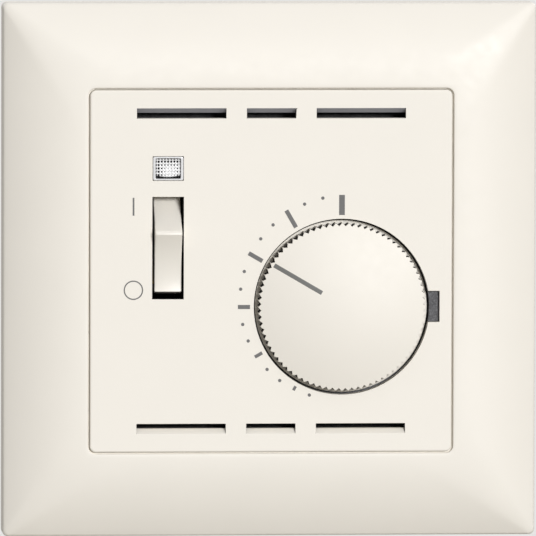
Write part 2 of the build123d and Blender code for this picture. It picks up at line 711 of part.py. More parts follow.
def make_spindle():
    """Steel spindle with flats for the knob and the cam and a groove for the clip."""
    flats = about_dial(flat_shaft(SPINDLE_R, SPINDLE_FLAT))
    front = slab(flats, SPINDLE_FRONT_Y, SPINDLE_FLATS_Y[0])
    middle = rod_y(DIAL_X, DIAL_Z, SPINDLE_R, *SPINDLE_FLATS_Y)
    back = slab(flats, SPINDLE_FLATS_Y[1], SPINDLE_BACK_Y)
    groove = about_dial(Circle(SPINDLE_R + 1) - Circle(SPINDLE_GROOVE_R))
    return front + middle + back - slab(groove, *SPINDLE_GROOVE_Y)


def make_spindle_bush():
    outline = Circle(BUSH_R) - Circle(SPINDLE_R + 0.04)
    return slab(about_dial(outline), *BUSH_SPAN)


def make_spindle_clip():
    """Open retaining clip in the spindle's groove."""
    outline = Circle(CLIP_R) - Circle(SPINDLE_GROOVE_R + SOCKET_FIT)
    outline -= Pos(0, -3.5) * Rectangle(CLIP_GAP, 4)
    return slab(about_dial(outline), SPINDLE_GROOVE_Y[0] + 0.05, SPINDLE_GROOVE_Y[1] - 0.05)


def cam_radius(angle):
    """Radius of the cam: it rises steadily as the knob is turned to warmer settings."""
    return CAM_R + CAM_RISE_PER_DEGREE * (angle - 90)


def make_setpoint_cam():
    """Cam plate: a spiral flank that lifts the lever, closed by a plain arc."""
    low, high = -25, 165
    angles = [low + (high - low) * step / 10 for step in range(11)]
    spiral = Spline(*[polar(cam_radius(angle), angle) for angle in angles])
    base_r = cam_radius(low)
    step_line = Line(spiral @ 1, polar(base_r, high + 15))
    base = CenterArc((0, 0), base_r, high + 15, 360 + low - high - 15)
    outline = make_face([spiral, step_line, base])
    outline -= flat_shaft(SPINDLE_R + SOCKET_FIT, SPINDLE_FLAT + SOCKET_FIT)
    return slab(about_dial(outline), *CAM_Y)


# Lever and bimetal ---------------------------------------------------------------------------


def make_setpoint_lever():
    """Lever that the cam lifts; its far end carries a contact and the snap magnet."""
    pivot_x, pivot_z = LEVER_PIVOT
    length = LEVER_END_X - pivot_x
    nose_z = DIAL_Z + CAM_R + CAM_GAP + LEVER_NOSE_R
    outline = Pos(pivot_x, pivot_z) * Circle(2 * LEVER_PIN_R)
    outline += Pos(pivot_x + length / 2, LEVER_MIDDLE_Z) * Rectangle(length, LEVER_DEPTH)
    outline += Pos(DIAL_X, nose_z) * Circle(LEVER_NOSE_R)
    outline += Pos(DIAL_X, nose_z + 0.6) * Rectangle(2 * LEVER_NOSE_R, 1.2)
    lever = slab(outline, *LEVER_Y)
    bore_y = (LEVER_Y[0] - 1, LEVER_Y[1] + 1)
    return lever - rod_y(pivot_x, pivot_z, LEVER_PIN_R + 0.04, *bore_y)


def make_lever_pivot_pin():
    return rod_y(*LEVER_PIVOT, LEVER_PIN_R, -2.5, STRIP_Y[0])


def make_lever_contact():
    lever_top = LEVER_MIDDLE_Z + LEVER_DEPTH / 2
    return rod_z(CONTACT_X, CONTACT_Y, CONTACT_R, lever_top, lever_top + 0.9)


def make_snap_magnet():
    lever_top = LEVER_MIDDLE_Z + LEVER_DEPTH / 2
    span = (MAGNET_X - MAGNET_HALF, MAGNET_X + MAGNET_HALF)
    return block(span, (2.3, 4.7), (lever_top, lever_top + 1.0))


def make_bimetal_strip():
    """Bimetal strip, which enters the clamp's slot at its left end."""
    return block((-9.4, LEVER_END_X), BIMETAL_Y, BIMETAL_Z)


def make_bimetal_contact():
    return rod_z(CONTACT_X, CONTACT_Y, CONTACT_R, BIMETAL_Z[0] - 0.6, BIMETAL_Z[0])


def make_armature():
    span = (MAGNET_X - MAGNET_HALF, MAGNET_X + MAGNET_HALF)
    return block(span, (2.1, 4.9), (BIMETAL_Z[0] - 0.3, BIMETAL_Z[0]))


def make_bimetal_clamp():
    """Brass post with a slot for the bimetal and a thread for the calibration screw."""
    clamp = block((-11.6, -7.0), (0.9, 8.9), (4.2, 9.2))
    clamp -= block((-9.6, -6.0), (BIMETAL_Y[0] - 0.1, BIMETAL_Y[1] + 0.1), (5.92, 6.68))
    return clamp - rod_y(CALIBRATION_X, CALIBRATION_Z, CALIBRATION_R, 0.5, 4.2)


def make_calibration_screw():
    screw = rod_y(CALIBRATION_X, CALIBRATION_Z, CALIBRATION_R, 0.9, 4.0)
    screw += rod_y(CALIBRATION_X, CALIBRATION_Z, CALIBRATION_HEAD_R, -0.5, 0.9)
    slot_x = (CALIBRATION_X - 2, CALIBRATION_X + 2)
    return screw - block(slot_x, (-0.6, 0.1), (CALIBRATION_Z - 0.3, CALIBRATION_Z + 0.3))


# Switch --------------------------------------------------------------------------------------


def in_switch(piece):
    """Place a piece modelled about the rocker's pivot, tilted to the on position."""
    return Pos(SWITCH_X, ROCKER_PIVOT_Y, SWITCH_Z) * Rot(-ROCKER_TILT, 0, 0) * piece


def rocker_outline():
    """Side view of the rocker: a rounded nose between two concave flanks, and a stem."""
    nose = math.radians(ROCKER_NOSE_SLOPE)
    end = math.radians(ROCKER_END_SLOPE)
    half_way = (nose + end) / 2
    flank_r = ROCKER_HALF_LENGTH / (math.sin(nose) - math.sin(end))

    def flank_point(slope, side):
        run = flank_r * (math.sin(nose) - math.sin(slope))
        drop = flank_r * (math.cos(slope) - math.cos(nose))
        return (-ROCKER_NOSE_R + drop, side * run)

    top, left, right = flank_point(nose, 1), flank_point(end, -1), flank_point(end, 1)
    lower = ThreePointArc(left, flank_point(half_way, -1), top)
    upper = ThreePointArc(top, flank_point(half_way, 1), right)
    wing_back = right[0] + ROCKER_WING
    under = Polyline(
        right,
        (wing_back, ROCKER_HALF_LENGTH),
        (-4.6, 3.0),
        (-1.5, 1.9),
        (5.2, 1.9),
        (5.2, -1.9),
        (-1.5, -1.9),
        (-4.6, -3.0),
        (wing_back, -ROCKER_HALF_LENGTH),
        left,
    )
    outline = make_face([lower, upper, under])
    nose_corner = outline.vertices().sort_by(Axis.X)[0]
    return fillet(nose_corner, 0.7)


def make_rocker():
    """Rocker with a cross hole for its axle and a blind bore for the plunger and spring."""
    width = ROCKER_WIDTH
    body = extrude(side_plane(-width / 2) * rocker_outline(), amount=width)
    end_edges = body.edges().filter_by(GeomType.LINE, reverse=True)
    body = fillet(end_edges.filter_by(lambda edge: edge.center().Y < -5), 0.25)
    body -= rod_x(0, 0, AXLE_R + 0.05, -width, width)
    body -= rod_y(0, 0, ROCKER_BORE_R, ROCKER_BORE_Y, 6)
    return in_switch(body)


def make_plunger():
    """Round-nosed plunger that pushes the contact blade."""
    nose_y = PLUNGER_TIP - PLUNGER_R
    body = rod_y(0, 0, PLUNGER_R, PLUNGER_BACK, nose_y)
    body += Pos(0, nose_y, 0) * Sphere(PLUNGER_R)
    return in_switch(body)


def make_plunger_spring():
    """Compression spring between the bore's end and the plunger."""
    helix = Helix(pitch=SPRING_PITCH, height=3 * SPRING_PITCH, radius=SPRING_R)
    section = Plane(origin=helix @ 0, z_dir=helix % 0) * Circle(SPRING_WIRE_R)
    coil = sweep(section, path=helix)
    return in_switch(Pos(0, ROCKER_BORE_Y + SPRING_WIRE_R + 0.03, 0) * Rot(-90, 0, 0) * coil)


def make_rocker_axle():
    half = SWITCH_BODY[0] / 2 - 0.2
    return rod_x(ROCKER_PIVOT_Y, SWITCH_Z, AXLE_R, SWITCH_X - half, SWITCH_X + half)


def make_switch_housing():
    """Open box that holds the axle and the switch contacts, with a flange behind the chassis."""
    here = Pos(SWITCH_X, SWITCH_Z)
    width, height = SWITCH_BODY
    housing = slab(here * Rectangle(width, height), SWITCH_FRONT_Y, SWITCH_BACK_Y)
    housing += slab(here * Rectangle(width + 1.6, height + 1.4), STEEL_FRONT_Y, 0)
    housing -= slab(here * Rectangle(*SWITCH_CAVITY), SWITCH_FRONT_Y - 1, SWITCH_FLOOR_Y)
    housing -= rod_x(ROCKER_PIVOT_Y, SWITCH_Z, AXLE_R + 0.02, SWITCH_X - 4.35, SWITCH_X + 4.35)
    contact_slot = block(
        (SWITCH_X - 1.6, SWITCH_X + 1.6), (8.6, 9.2), (SWITCH_Z - 12, SWITCH_Z - 9)
    )
    common_slot = block((SWITCH_X, SWITCH_X + 6), (8.8, 9.3), (3.3, 5.0))
    return housing - contact_slot - common_slot


def in_blade(piece):
    """Place a piece modelled about the blade's pivot, tilted to the on position."""
    return Pos(SWITCH_X, BLADE_PIVOT_Y, SWITCH_Z) * Rot(BLADE_TILT, 0, 0) * piece


def make_switch_blade():
    """Flat seesaw blade that rides on the fulcrum."""
    width, length = BLADE_SIZE
    return in_blade(block((-width / 2, width / 2), BLADE_LEVEL, (-length / 2, length / 2)))


def make_blade_contact():
    back = BLADE_LEVEL[1]
    return in_blade(rod_y(0, -CONTACT_ARM, 1.1, back, back + 0.5))


def make_switch_fulcrum():
    """Common contact: a rounded fulcrum under the blade, with a tail to the bimetal clamp."""
    post_x = (SWITCH_X - BLADE_SIZE[0] / 2, SWITCH_X + BLADE_SIZE[0] / 2)
    fulcrum = rod_x(BLADE_PIVOT_Y, SWITCH_Z, FULCRUM_R, *post_x)
    post_z = (SWITCH_Z - FULCRUM_R, SWITCH_Z + FULCRUM_R)
    fulcrum += block(post_x, (BLADE_PIVOT_Y, SWITCH_FLOOR_Y), post_z)
    tail = block((SWITCH_X, -7.4), (8.9, 9.3), (3.4, 4.9))
    return fulcrum + tail


def make_switch_fixed_contact():
    return rod_y(SWITCH_X, SWITCH_Z - CONTACT_ARM, 1.3, 8.1, STRIP_Y[0])


def make_switch_contact_strip():
    """Brass strip from the switch's fixed contact to the first terminal."""
    strip = block((SWITCH_X - 1.5, SWITCH_X + 1.5), STRIP_Y, (-11.4, SWITCH_Z - 4.2))
    strip += block((SWITCH_X - 1.5, -10.8), STRIP_Y, (-11.4, -9.4))
    return strip + block((-13.2, -10.8), STRIP_Y, (-15.0, -9.4))


# Lamp, resistors and terminals ---------------------------------------------------------------


def make_lamp_holder():
    """White reflector tray behind the lens."""
    tray = block((-21.0, -13.0), (-6.9, CHASSIS_FRONT_Y), (14.65, 19.3))
    tray -= block((-20.3, -13.7), (-8.0, CHASSIS_FRONT_Y - 0.6), (15.25, 18.7))
    tray -= rod_x(LAMP_Y, LENS_Z, LAMP_LEAD_R + 0.1, -22, -12)
    return tray


def make_neon_lamp():
    """Small glass lamp lying across the tray, with rounded ends."""
    left, right = SWITCH_X - LAMP_HALF, SWITCH_X + LAMP_HALF
    glass = rod_x(LAMP_Y, LENS_Z, LAMP_R, left, right)
    ends = glass.edges().filter_by(GeomType.CIRCLE)
    glass = fillet(ends, 0.6)
    glass -= rod_x(LAMP_Y, LENS_Z, LAMP_R - 0.3, left + 0.7, right - 0.7)
    return glass - rod_x(LAMP_Y, LENS_Z, LAMP_LEAD_R, left - 1, right + 1)


def wire(points, radius, bend_r):
    """Round wire along straight runs joined by arcs."""
    path = FilletPolyline(*points, radius=bend_r)
    section = Plane(origin=path @ 0, z_dir=path % 0) * Circle(radius)
    return sweep(section, path=path)


def make_lamp_leads():
    """Electrodes and leads: one passes back through the chassis, one feeds the resistor."""
    z = LENS_Z
    rear = LAMP_RESISTOR_Y
    first, last = LAMP_LEAD_XS
    start, end = LAMP_RESISTOR_X
    to_back = [(SWITCH_X - 0.3, LAMP_Y, z), (first, LAMP_Y, z), (first, STEEL_FRONT_Y, z)]
    to_resistor = [
        (SWITCH_X + 0.3, LAMP_Y, z),
        (start - 1.6, LAMP_Y, z),
        (start - 0.8, rear, z),
        (start, rear, z),
    ]
    from_resistor = [(end, rear, z), (last, rear, z), (last, 0.8, z)]
    return [
        wire(to_back, LAMP_LEAD_R, 0.8),
        wire(to_resistor, LAMP_LEAD_R, 0.4),
        wire(from_resistor, LAMP_LEAD_R, 0.7),
    ]


def make_lamp_resistor():
    """Series resistor of the lamp, lying on the chassis."""
    body = rod_x(LAMP_RESISTOR_Y, LENS_Z, 1.25, *LAMP_RESISTOR_X)
    return fillet(body.edges().filter_by(GeomType.CIRCLE), RESISTOR_END_R)


def make_feedback_resistor():
    """Heater resistor that warms the bimetal while the output is on."""
    body = rod_x(HEATER_Y, HEATER_Z, 1.4, *HEATER_X)
    return fillet(body.edges().filter_by(GeomType.CIRCLE), RESISTOR_END_R)


def make_feedback_leads():
    """Two leads from the heater resistor down to the last two terminals."""
    leads = []
    for end, out in zip(HEATER_X, (-1.6, 1.6)):
        route = [
            (end, HEATER_Y, HEATER_Z),
            (end + out, HEATER_Y, HEATER_Z),
            (end + out, HEATER_Y, -14.0),
            (end + out, TERMINAL_CAGE_Y, -14.0),
        ]
        leads.append(wire(route, HEATER_LEAD_R, 0.9))
    return leads


def make_lever_strip():
    """Brass strip from the lever's pin to the second terminal."""
    strip = block((-10.0, -8.0), STRIP_Y, (-11.4, 2.6))
    strip += block((-10.0, -2.8), STRIP_Y, (-11.4, -9.4))
    return strip + block((-5.2, -2.8), STRIP_Y, (-15.0, -9.4))


def make_terminal_cages():
    """Four brass blocks with a wire bore from the back and a threaded hole from below."""
    cages = []
    for x in TERMINAL_XS:
        half = TERMINAL_CAGE_WIDTH / 2
        depth = (TERMINAL_CAGE_Y, HOUSING_BACK_Y - HOUSING_WALL)
        cage = block((x - half, x + half), depth, TERMINAL_CAGE_Z)
        cage -= rod_y(x, TERMINAL_Z, TERMINAL_BORE_R, TERMINAL_CAGE_Y + 1.5, HOUSING_BACK_Y)
        thread_z = (TERMINAL_CAGE_Z[0] - 0.5, TERMINAL_Z)
        cage -= rod_z(x, TERMINAL_SCREW_Y, TERMINAL_THREAD_R, *thread_z)
        cages.append(cage)
    return cages


def make_terminal_screws():
    """Slotted clamping screws, backed off so that the bores are open."""
    screws = []
    for x in TERMINAL_XS:
        screw = rod_z(x, TERMINAL_SCREW_Y, 1.2, -22.0, -17.7)
        screw += rod_z(x, TERMINAL_SCREW_Y, 2.3, -23.4, -22.0)
        slot_y = (TERMINAL_SCREW_Y - SCREW_SLOT / 2, TERMINAL_SCREW_Y + SCREW_SLOT / 2)
        screw -= block((x - 3, x + 3), slot_y, (-24.0, -22.8))
        screws.append(screw)
    return screws


NODES = {
    "cover_frame": make_cover_frame,
    "cover_plate": make_cover_plate,
    "scale_marks": make_scale_marks,
    "switch_marks": make_switch_marks,
    "indicator_lens": make_indicator_lens,
    "mounting_plate": make_mounting_plate,
    "chassis": make_chassis,
    "rear_housing": make_rear_housing,
    "housing_screws": make_housing_screws,
    "knob": make_knob,
    "knob_pointer": make_knob_pointer,
    "min_limit_ring": make_min_limit_ring,
    "max_limit_ring": make_max_limit_ring,
    "spindle": make_spindle,
    "spindle_bush": make_spindle_bush,
    "spindle_clip": make_spindle_clip,
    "setpoint_cam": make_setpoint_cam,
    "setpoint_lever": make_setpoint_lever,
    "lever_pivot_pin": make_lever_pivot_pin,
    "lever_contact": make_lever_contact,
    "snap_magnet": make_snap_magnet,
    "lever_strip": make_lever_strip,
    "bimetal_strip": make_bimetal_strip,
    "bimetal_contact": make_bimetal_contact,
    "armature": make_armature,
    "bimetal_clamp": make_bimetal_clamp,
    "calibration_screw": make_calibration_screw,
    "rocker": make_rocker,
    "plunger": make_plunger,
    "plunger_spring": make_plunger_spring,
    "rocker_axle": make_rocker_axle,
    "switch_housing": make_switch_housing,
    "switch_blade": make_switch_blade,
    "blade_contact": make_blade_contact,
    "switch_fulcrum": make_switch_fulcrum,
    "switch_fixed_contact": make_switch_fixed_contact,
    "switch_contact_strip": make_switch_contact_strip,
    "lamp_holder": make_lamp_holder,
    "neon_lamp": make_neon_lamp,
    "lamp_leads": make_lamp_leads,
    "lamp_resistor": make_lamp_resistor,
    "feedback_resistor": make_feedback_resistor,
    "feedback_leads": make_feedback_leads,
    "terminal_cages": make_terminal_cages,
    "terminal_screws": make_terminal_screws,
}


def solids_of(shape):
    """All solids of a shape or of a list of shapes."""
    pieces = shape if isinstance(shape, list) else [shape]
    return [solid for piece in pieces for solid in piece.solids()]


os.makedirs("parts", exist_ok=True)
for name, make in NODES.items():
    solids = solids_of(make())
    node = solids[0] if len(solids) == 1 else Compound(solids)
    export_step(node, f"parts/{name}.step")
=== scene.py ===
import json
import math

import bmesh
import bpy
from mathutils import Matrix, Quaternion, Vector


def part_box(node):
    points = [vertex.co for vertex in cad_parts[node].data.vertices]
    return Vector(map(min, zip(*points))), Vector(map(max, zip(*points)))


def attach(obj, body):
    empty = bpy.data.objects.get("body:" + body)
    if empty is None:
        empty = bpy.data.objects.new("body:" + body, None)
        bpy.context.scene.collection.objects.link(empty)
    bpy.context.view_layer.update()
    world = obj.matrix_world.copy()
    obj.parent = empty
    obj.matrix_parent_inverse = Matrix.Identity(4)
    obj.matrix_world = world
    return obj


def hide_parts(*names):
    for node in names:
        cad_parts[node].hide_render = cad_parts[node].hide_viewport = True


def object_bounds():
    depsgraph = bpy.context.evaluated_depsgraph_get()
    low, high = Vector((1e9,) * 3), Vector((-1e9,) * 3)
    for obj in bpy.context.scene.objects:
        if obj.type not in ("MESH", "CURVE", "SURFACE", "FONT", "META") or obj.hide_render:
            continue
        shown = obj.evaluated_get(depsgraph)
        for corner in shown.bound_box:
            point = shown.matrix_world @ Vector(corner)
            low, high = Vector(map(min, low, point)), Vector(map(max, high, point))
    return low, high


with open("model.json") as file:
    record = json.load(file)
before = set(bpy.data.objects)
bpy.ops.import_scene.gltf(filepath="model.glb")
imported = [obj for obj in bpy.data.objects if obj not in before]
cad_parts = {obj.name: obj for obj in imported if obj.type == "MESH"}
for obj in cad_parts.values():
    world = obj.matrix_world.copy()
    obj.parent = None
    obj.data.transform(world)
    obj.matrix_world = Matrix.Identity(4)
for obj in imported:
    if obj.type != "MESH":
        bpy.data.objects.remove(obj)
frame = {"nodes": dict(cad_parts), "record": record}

# Looks of the wall thermostat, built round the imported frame. Lengths in this file are in
# millimetres, and mesh_piece turns them into metres.

MM = 0.001
CAD_LOW, CAD_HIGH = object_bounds()
NODES = frame["nodes"]
RECORD = frame["record"]
BODY_OF = {node: body for body, nodes in RECORD["behaviour"]["bodies"].items() for node in nodes}


def box_mm(node):
    """Lowest and highest corner of a CAD node, in millimetres."""
    low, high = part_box(node)
    return low / MM, high / MM


# Driving sizes, read from the frame where it has them ------------------------------------------

FRAME_LOW, FRAME_HIGH = box_mm("cover_frame")
FRONT_Y = FRAME_LOW.y
FRAME_HALF = FRAME_HIGH.x
FRAME_BAND = 13.9
FRAME_CORNER_R = 0.9
FRAME_BLEND_R = 9.0
FRAME_EDGE_R = 0.8
FRAME_EDGE_TURN = math.radians(58)
FRAME_WALL = 2.0
FRAME_SKIRT = 1.8
FRAME_SKIRT_Y = -1.2
FRAME_SKIRT_CORNER_R = 0.3
FRAME_FOOT = 0.25
FRAME_LIP = 0.22
OPENING_CORNER_R = 1.2
LEDGE_DROP = 0.75
LEDGE_DEPTH = 0.19
LEDGE_CORNER = 0.15
PILLOW_R = 25.9
PEG_ALONG = 22.0
PEG_OUT = 33.4
PEG_LENGTH = 7.0
PEG_WIDTH = 1.6
PEG_SPAN_Y = (-7.9, -0.2)

PLATE_BACK_Y = -7.6
OPENING_HALF = (2.58, 8.43)
VENT_Z = 26.0
VENT_HALF = 0.84

KNOB_LOW, KNOB_HIGH = box_mm("knob")
DIAL_X = (KNOB_LOW.x + KNOB_HIGH.x) / 2
DIAL_Z = (KNOB_LOW.z + KNOB_HIGH.z) / 2
KNOB_FLANGE_R = (KNOB_HIGH.x - KNOB_LOW.x) / 2
KNOB_FLANGE_Y = -8.0
KNOB_SKIRT_Y = KNOB_HIGH.y
KNOB_CROWN_Y = KNOB_LOW.y
KNOB_TIP_R = 13.95
KNOB_TOP_TIP_R = 13.87
KNOB_FACE_R = 13.5
KNOB_RIM_R = 0.4
KNOB_EDGE = 0.08
KNOB_TEETH = 80
KNOB_TOOTH_DEPTH = 0.52
KNOB_DOME_R = 46.0
KNOB_HUB = ((0.05, -10.5), (3.02, -10.5), (3.02, -8.8), (5.2, -8.8), (5.2, -10.6), (8.2, -10.6))
KNOB_COLLAR = ((8.2, -8.0), (9.45, -8.0), (9.45, -9.7), (12.3, -9.7), (12.3, KNOB_SKIRT_Y))
POINTER_SPAN = (4.26, 13.2)
POINTER_WIDTH = 0.72
POINTER_OFFSET = -0.4
POINTER_ANGLE = math.radians(150)

AXLE_LOW, AXLE_HIGH = box_mm("rocker_axle")
SWITCH_X = (AXLE_LOW.x + AXLE_HIGH.x) / 2
PIVOT_Y = (AXLE_LOW.y + AXLE_HIGH.y) / 2
PIVOT_Z = (AXLE_LOW.z + AXLE_HIGH.z) / 2
ROCKER_TILT = math.radians(13)
ROCKER_WIDTH = 4.46
ROCKER_EDGE_R = 0.22
ROCKER_HALF_LENGTH = 9.0
ROCKER_NOSE_R = 12.0
ROCKER_NOSE_SLOPE = math.radians(52)
ROCKER_END_SLOPE = math.radians(6)
RIDGE_EDGE_R = 0.1
RIDGE_CREST_R = 0.8
RIDGE_MEETING = math.radians(-14)
ROCKER_END_DEPTH = 1.7
ROCKER_STEM = ((4.6, 3.0), (1.5, 1.9), (-5.2, 1.9))

LENS_LOW, LENS_HIGH = box_mm("indicator_lens")
LENS_HALF = (2.5, 1.95)
LENS_FIELD = (2.05, 1.65)
LENS_COLUMNS, LENS_ROWS = 8, 6
LENS_FLANGE = 0.4
LENS_FLANGE_THICKNESS = 0.6
PYRAMID_DROP = 0.32
PYRAMID_HEIGHT = 0.24


# Mesh helpers ----------------------------------------------------------------------------------


def adopt(name, mesh, material, node):
    """New object for a mesh, riding on its node's body in place of the node's own shape."""
    mesh.materials.append(material)
    piece = bpy.data.objects.new(name, mesh)
    bpy.context.scene.collection.objects.link(piece)
    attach(piece, BODY_OF[node])
    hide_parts(node)
    return piece


def mesh_piece(name, points, faces, material, node, sharp_angle):
    """New object from points in millimetres, its edges above an angle kept sharp."""
    mesh = bpy.data.meshes.new(name)
    mesh.from_pydata([tuple(value * MM for value in point) for point in points], [], faces)
    shape = bmesh.new()
    shape.from_mesh(mesh)
    bmesh.ops.recalc_face_normals(shape, faces=shape.faces)
    shape.to_mesh(mesh)
    shape.free()
    mesh.shade_smooth()
    mesh.set_sharp_from_angle(angle=math.radians(sharp_angle))
    return adopt(name, mesh, material, node)


def ring_faces(rings, count, closed=False):
    """Quads between neighbouring rings that hold the same number of points."""
    faces = []
    pairs = rings if closed else rings - 1
    for ring in range(pairs):
        here = ring * count
        there = ((ring + 1) % rings) * count
        for point in range(count):
            after = (point + 1) % count
            faces.append((here + point, here + after, there + after, there + point))
    return faces


def softened(node, material, width):
    """Copy of a CAD node with its edges rounded, as moulded and stamped parts have them."""
    shape = bmesh.new()
    shape.from_mesh(NODES[node].data)
    bmesh.ops.remove_doubles(shape, verts=shape.verts, dist=1e-6)
    bmesh.ops.dissolve_limit(
        shape, angle_limit=math.radians(0.4), verts=shape.verts, edges=shape.edges
    )
    mesh = bpy.data.meshes.new(node + "_moulded")
    shape.to_mesh(mesh)
    shape.free()
    mesh.shade_smooth()
    piece = adopt(node + "_moulded", mesh, material, node)
    bevel = piece.modifiers.new("edges", "BEVEL")
    bevel.width = width * MM
    bevel.segments = 2
    bevel.limit_method = "ANGLE"
    bevel.angle_limit = math.radians(35)
    bevel.miter_outer = "MITER_ARC"
    bevel.use_clamp_overlap = True
    piece.modifiers.new("normals", "WEIGHTED_NORMAL").keep_sharp = False
    return piece


# Materials -------------------------------------------------------------------------------------

# The colour sockets of a Mix node share their names with its number sockets, so they go by index.
MIX_A, MIX_B, MIX_OUT = 6, 7, 2


def srgb(red, green, blue):
    """Linear colour of an 8-bit screen colour."""
    channels = [value / 255 for value in (red, green, blue)]
    linear = [v / 12.92 if v <= 0.04045 else ((v + 0.055) / 1.055) ** 2.4 for v in channels]
    return (*linear, 1.0)


def tinted(colour, factor):
    return (*[min(value * factor, 1.0) for value in colour[:3]], 1.0)


class Surface:
    """Small builder for a Principled material whose colour, roughness and relief are procedural."""

    def __init__(self, name, roughness=0.45, metallic=0.0):
        self.material = bpy.data.materials.new(name)
        self.material.use_nodes = True
        self.tree = self.material.node_tree
        self.shader = self.tree.nodes["Principled BSDF"]
        self.shader.inputs["Roughness"].default_value = roughness
        self.shader.inputs["Metallic"].default_value = metallic
        self.place = self.tree.nodes.new("ShaderNodeTexCoord").outputs["Object"]

    def link(self, output, target):
        self.tree.links.new(output, target)

    def stretch(self, scale):
        """Object coordinates scaled along each axis, for grain with a direction."""
        node = self.tree.nodes.new("ShaderNodeMapping")
        node.inputs["Scale"].default_value = scale
        self.link(self.place, node.inputs["Vector"])
        return node.outputs["Vector"]

    def noise(self, size, detail=3.0, vector=None):
        """Noise whose features are about size millimetres across."""
        node = self.tree.nodes.new("ShaderNodeTexNoise")
        node.inputs["Scale"].default_value = 1 / (size * MM)
        node.inputs["Detail"].default_value = detail
        self.link(vector or self.place, node.inputs["Vector"])
        return node.outputs["Fac"]

    def spread(self, value, low, high, centre=0.5, width=0.25):
        """Map the middle of a value's range onto low to high."""
        node = self.tree.nodes.new("ShaderNodeMapRange")
        node.inputs["From Min"].default_value = centre - width
        node.inputs["From Max"].default_value = centre + width
        node.inputs["To Min"].default_value = low
        node.inputs["To Max"].default_value = high
        self.link(value, node.inputs["Value"])
        return node.outputs["Result"]

    def mix(self, factor, colour_a, colour_b):
        node = self.tree.nodes.new("ShaderNodeMix")
        node.data_type = "RGBA"
        self.link(factor, node.inputs["Factor"])
        for colour, socket in ((colour_a, node.inputs[MIX_A]), (colour_b, node.inputs[MIX_B])):
            if isinstance(colour, tuple):
                socket.default_value = colour
            else:
                self.link(colour, socket)
        return node.outputs[MIX_OUT]

    def maths(self, operation, a, b=None):
        node = self.tree.nodes.new("ShaderNodeMath")
        node.operation = operation
        for value, socket in ((a, node.inputs[0]), (b, node.inputs[1])):
            if isinstance(value, (int, float)):
                socket.default_value = value
            elif value is not None:
                self.link(value, socket)
        return node.outputs[0]

    def axis(self, name):
        """One object coordinate, in millimetres."""
        node = self.tree.nodes.new("ShaderNodeSeparateXYZ")
        self.link(self.place, node.inputs[0])
        return self.maths("MULTIPLY", node.outputs[name], 1 / MM)

    def colour(self, value):
        if isinstance(value, tuple):
            self.set("Base Color", value)
        else:
            self.link(value, self.shader.inputs["Base Color"])

    def roughness(self, value):
        self.link(value, self.shader.inputs["Roughness"])

    def relief(self, height, depth):
        """Bump whose full height is depth millimetres."""
        node = self.tree.nodes.new("ShaderNodeBump")
        node.inputs["Distance"].default_value = depth * MM
        node.inputs["Strength"].default_value = 1.0
        self.link(height, node.inputs["Height"])
        self.link(node.outputs["Normal"], self.shader.inputs["Normal"])

    def set(self, socket, value):
        self.shader.inputs[socket].default_value = value


def moulded(name, colour, roughness, grain=0.25, depth=0.004, variation=0.02):
    """Moulded plastic: a fine grain, a slow change of tone and uneven gloss."""
    surface = Surface(name, roughness)
    slow = surface.spread(surface.noise(9.0, 2.0), 0, 1)
    surface.colour(surface.mix(slow, tinted(colour, 1 - variation), tinted(colour, 1 + variation)))
    gloss = surface.noise(grain * 3, 4.0)
    surface.roughness(surface.spread(gloss, roughness - 0.05, roughness + 0.06))
    surface.relief(surface.noise(grain, 3.0), depth)
    return surface.material


def rolled_metal(name, colour, roughness, along, depth=0.002):
    """Metal with fine marks along one direction, left by rolling or drawing."""
    surface = Surface(name, roughness, metallic=1.0)
    marks = surface.noise(0.5, 4.0, surface.stretch(along))
    dark, light = tinted(colour, 0.88), tinted(colour, 1.06)
    surface.colour(surface.mix(surface.spread(marks, 0, 1), dark, light))
    surface.roughness(
        surface.spread(surface.noise(1.6, 3.0), roughness - 0.08, roughness + 0.1)
    )
    surface.relief(marks, depth)
    return surface.material


def resistor_material(node, colour, bands):
    """Lacquered resistor with colour bands across its length."""
    low, high = box_mm(node)
    surface = Surface(node + "_body", 0.32)
    x = surface.axis("X")
    half_band = 0.3
    for share, band in bands:
        middle = low.x + share * (high.x - low.x)
        distance = surface.maths("ABSOLUTE", surface.maths("SUBTRACT", x, middle))
        mask = surface.maths("LESS_THAN", distance, half_band)
        colour = surface.mix(mask, colour, band)
    surface.colour(colour)
    surface.relief(surface.noise(1.2, 2.0), 0.01)
    return surface.material


def bimetal_material():
    """Two bonded metals: a warmer alloy on the upper half of the strip."""
    low, high = box_mm("bimetal_strip")
    surface = Surface("bimetal", 0.3, metallic=1.0)
    upper = surface.maths("GREATER_THAN", surface.axis("Z"), (low.z + high.z) / 2)
    marks = surface.noise(0.5, 4.0, surface.stretch((1, 14, 14)))
    pair = surface.mix(upper, srgb(172, 172, 170), srgb(196, 170, 132))
    surface.colour(surface.mix(surface.spread(marks, 0, 1), srgb(120, 118, 114), pair))
    surface.relief(marks, 0.002)
    return surface.material


def chassis_material():
    """Speckled graphite moulding; every face behind the dial platform is painted near-black as
    shade.
    """
    surface = Surface("chassis_plastic", 0.6)
    sparkle = surface.spread(surface.noise(0.32, 4.0), 0, 1, 0.56, 0.14)
    graphite = surface.mix(sparkle, srgb(70, 70, 72), srgb(112, 112, 115))
    # Painted shade: the chassis behind the platform is darkened to near-black, standing in for deep
    # shade in the slots.
    painted_shade_black = surface.mix(sparkle, srgb(26, 26, 28), srgb(52, 52, 55))
    platform_y = -6.9
    on_platform = surface.maths("LESS_THAN", surface.axis("Y"), platform_y)
    surface.colour(surface.mix(on_platform, painted_shade_black, graphite))
    surface.roughness(surface.spread(surface.noise(0.9, 3.0), 0.5, 0.7))
    surface.relief(surface.noise(0.3, 3.0), 0.015)
    return surface.material


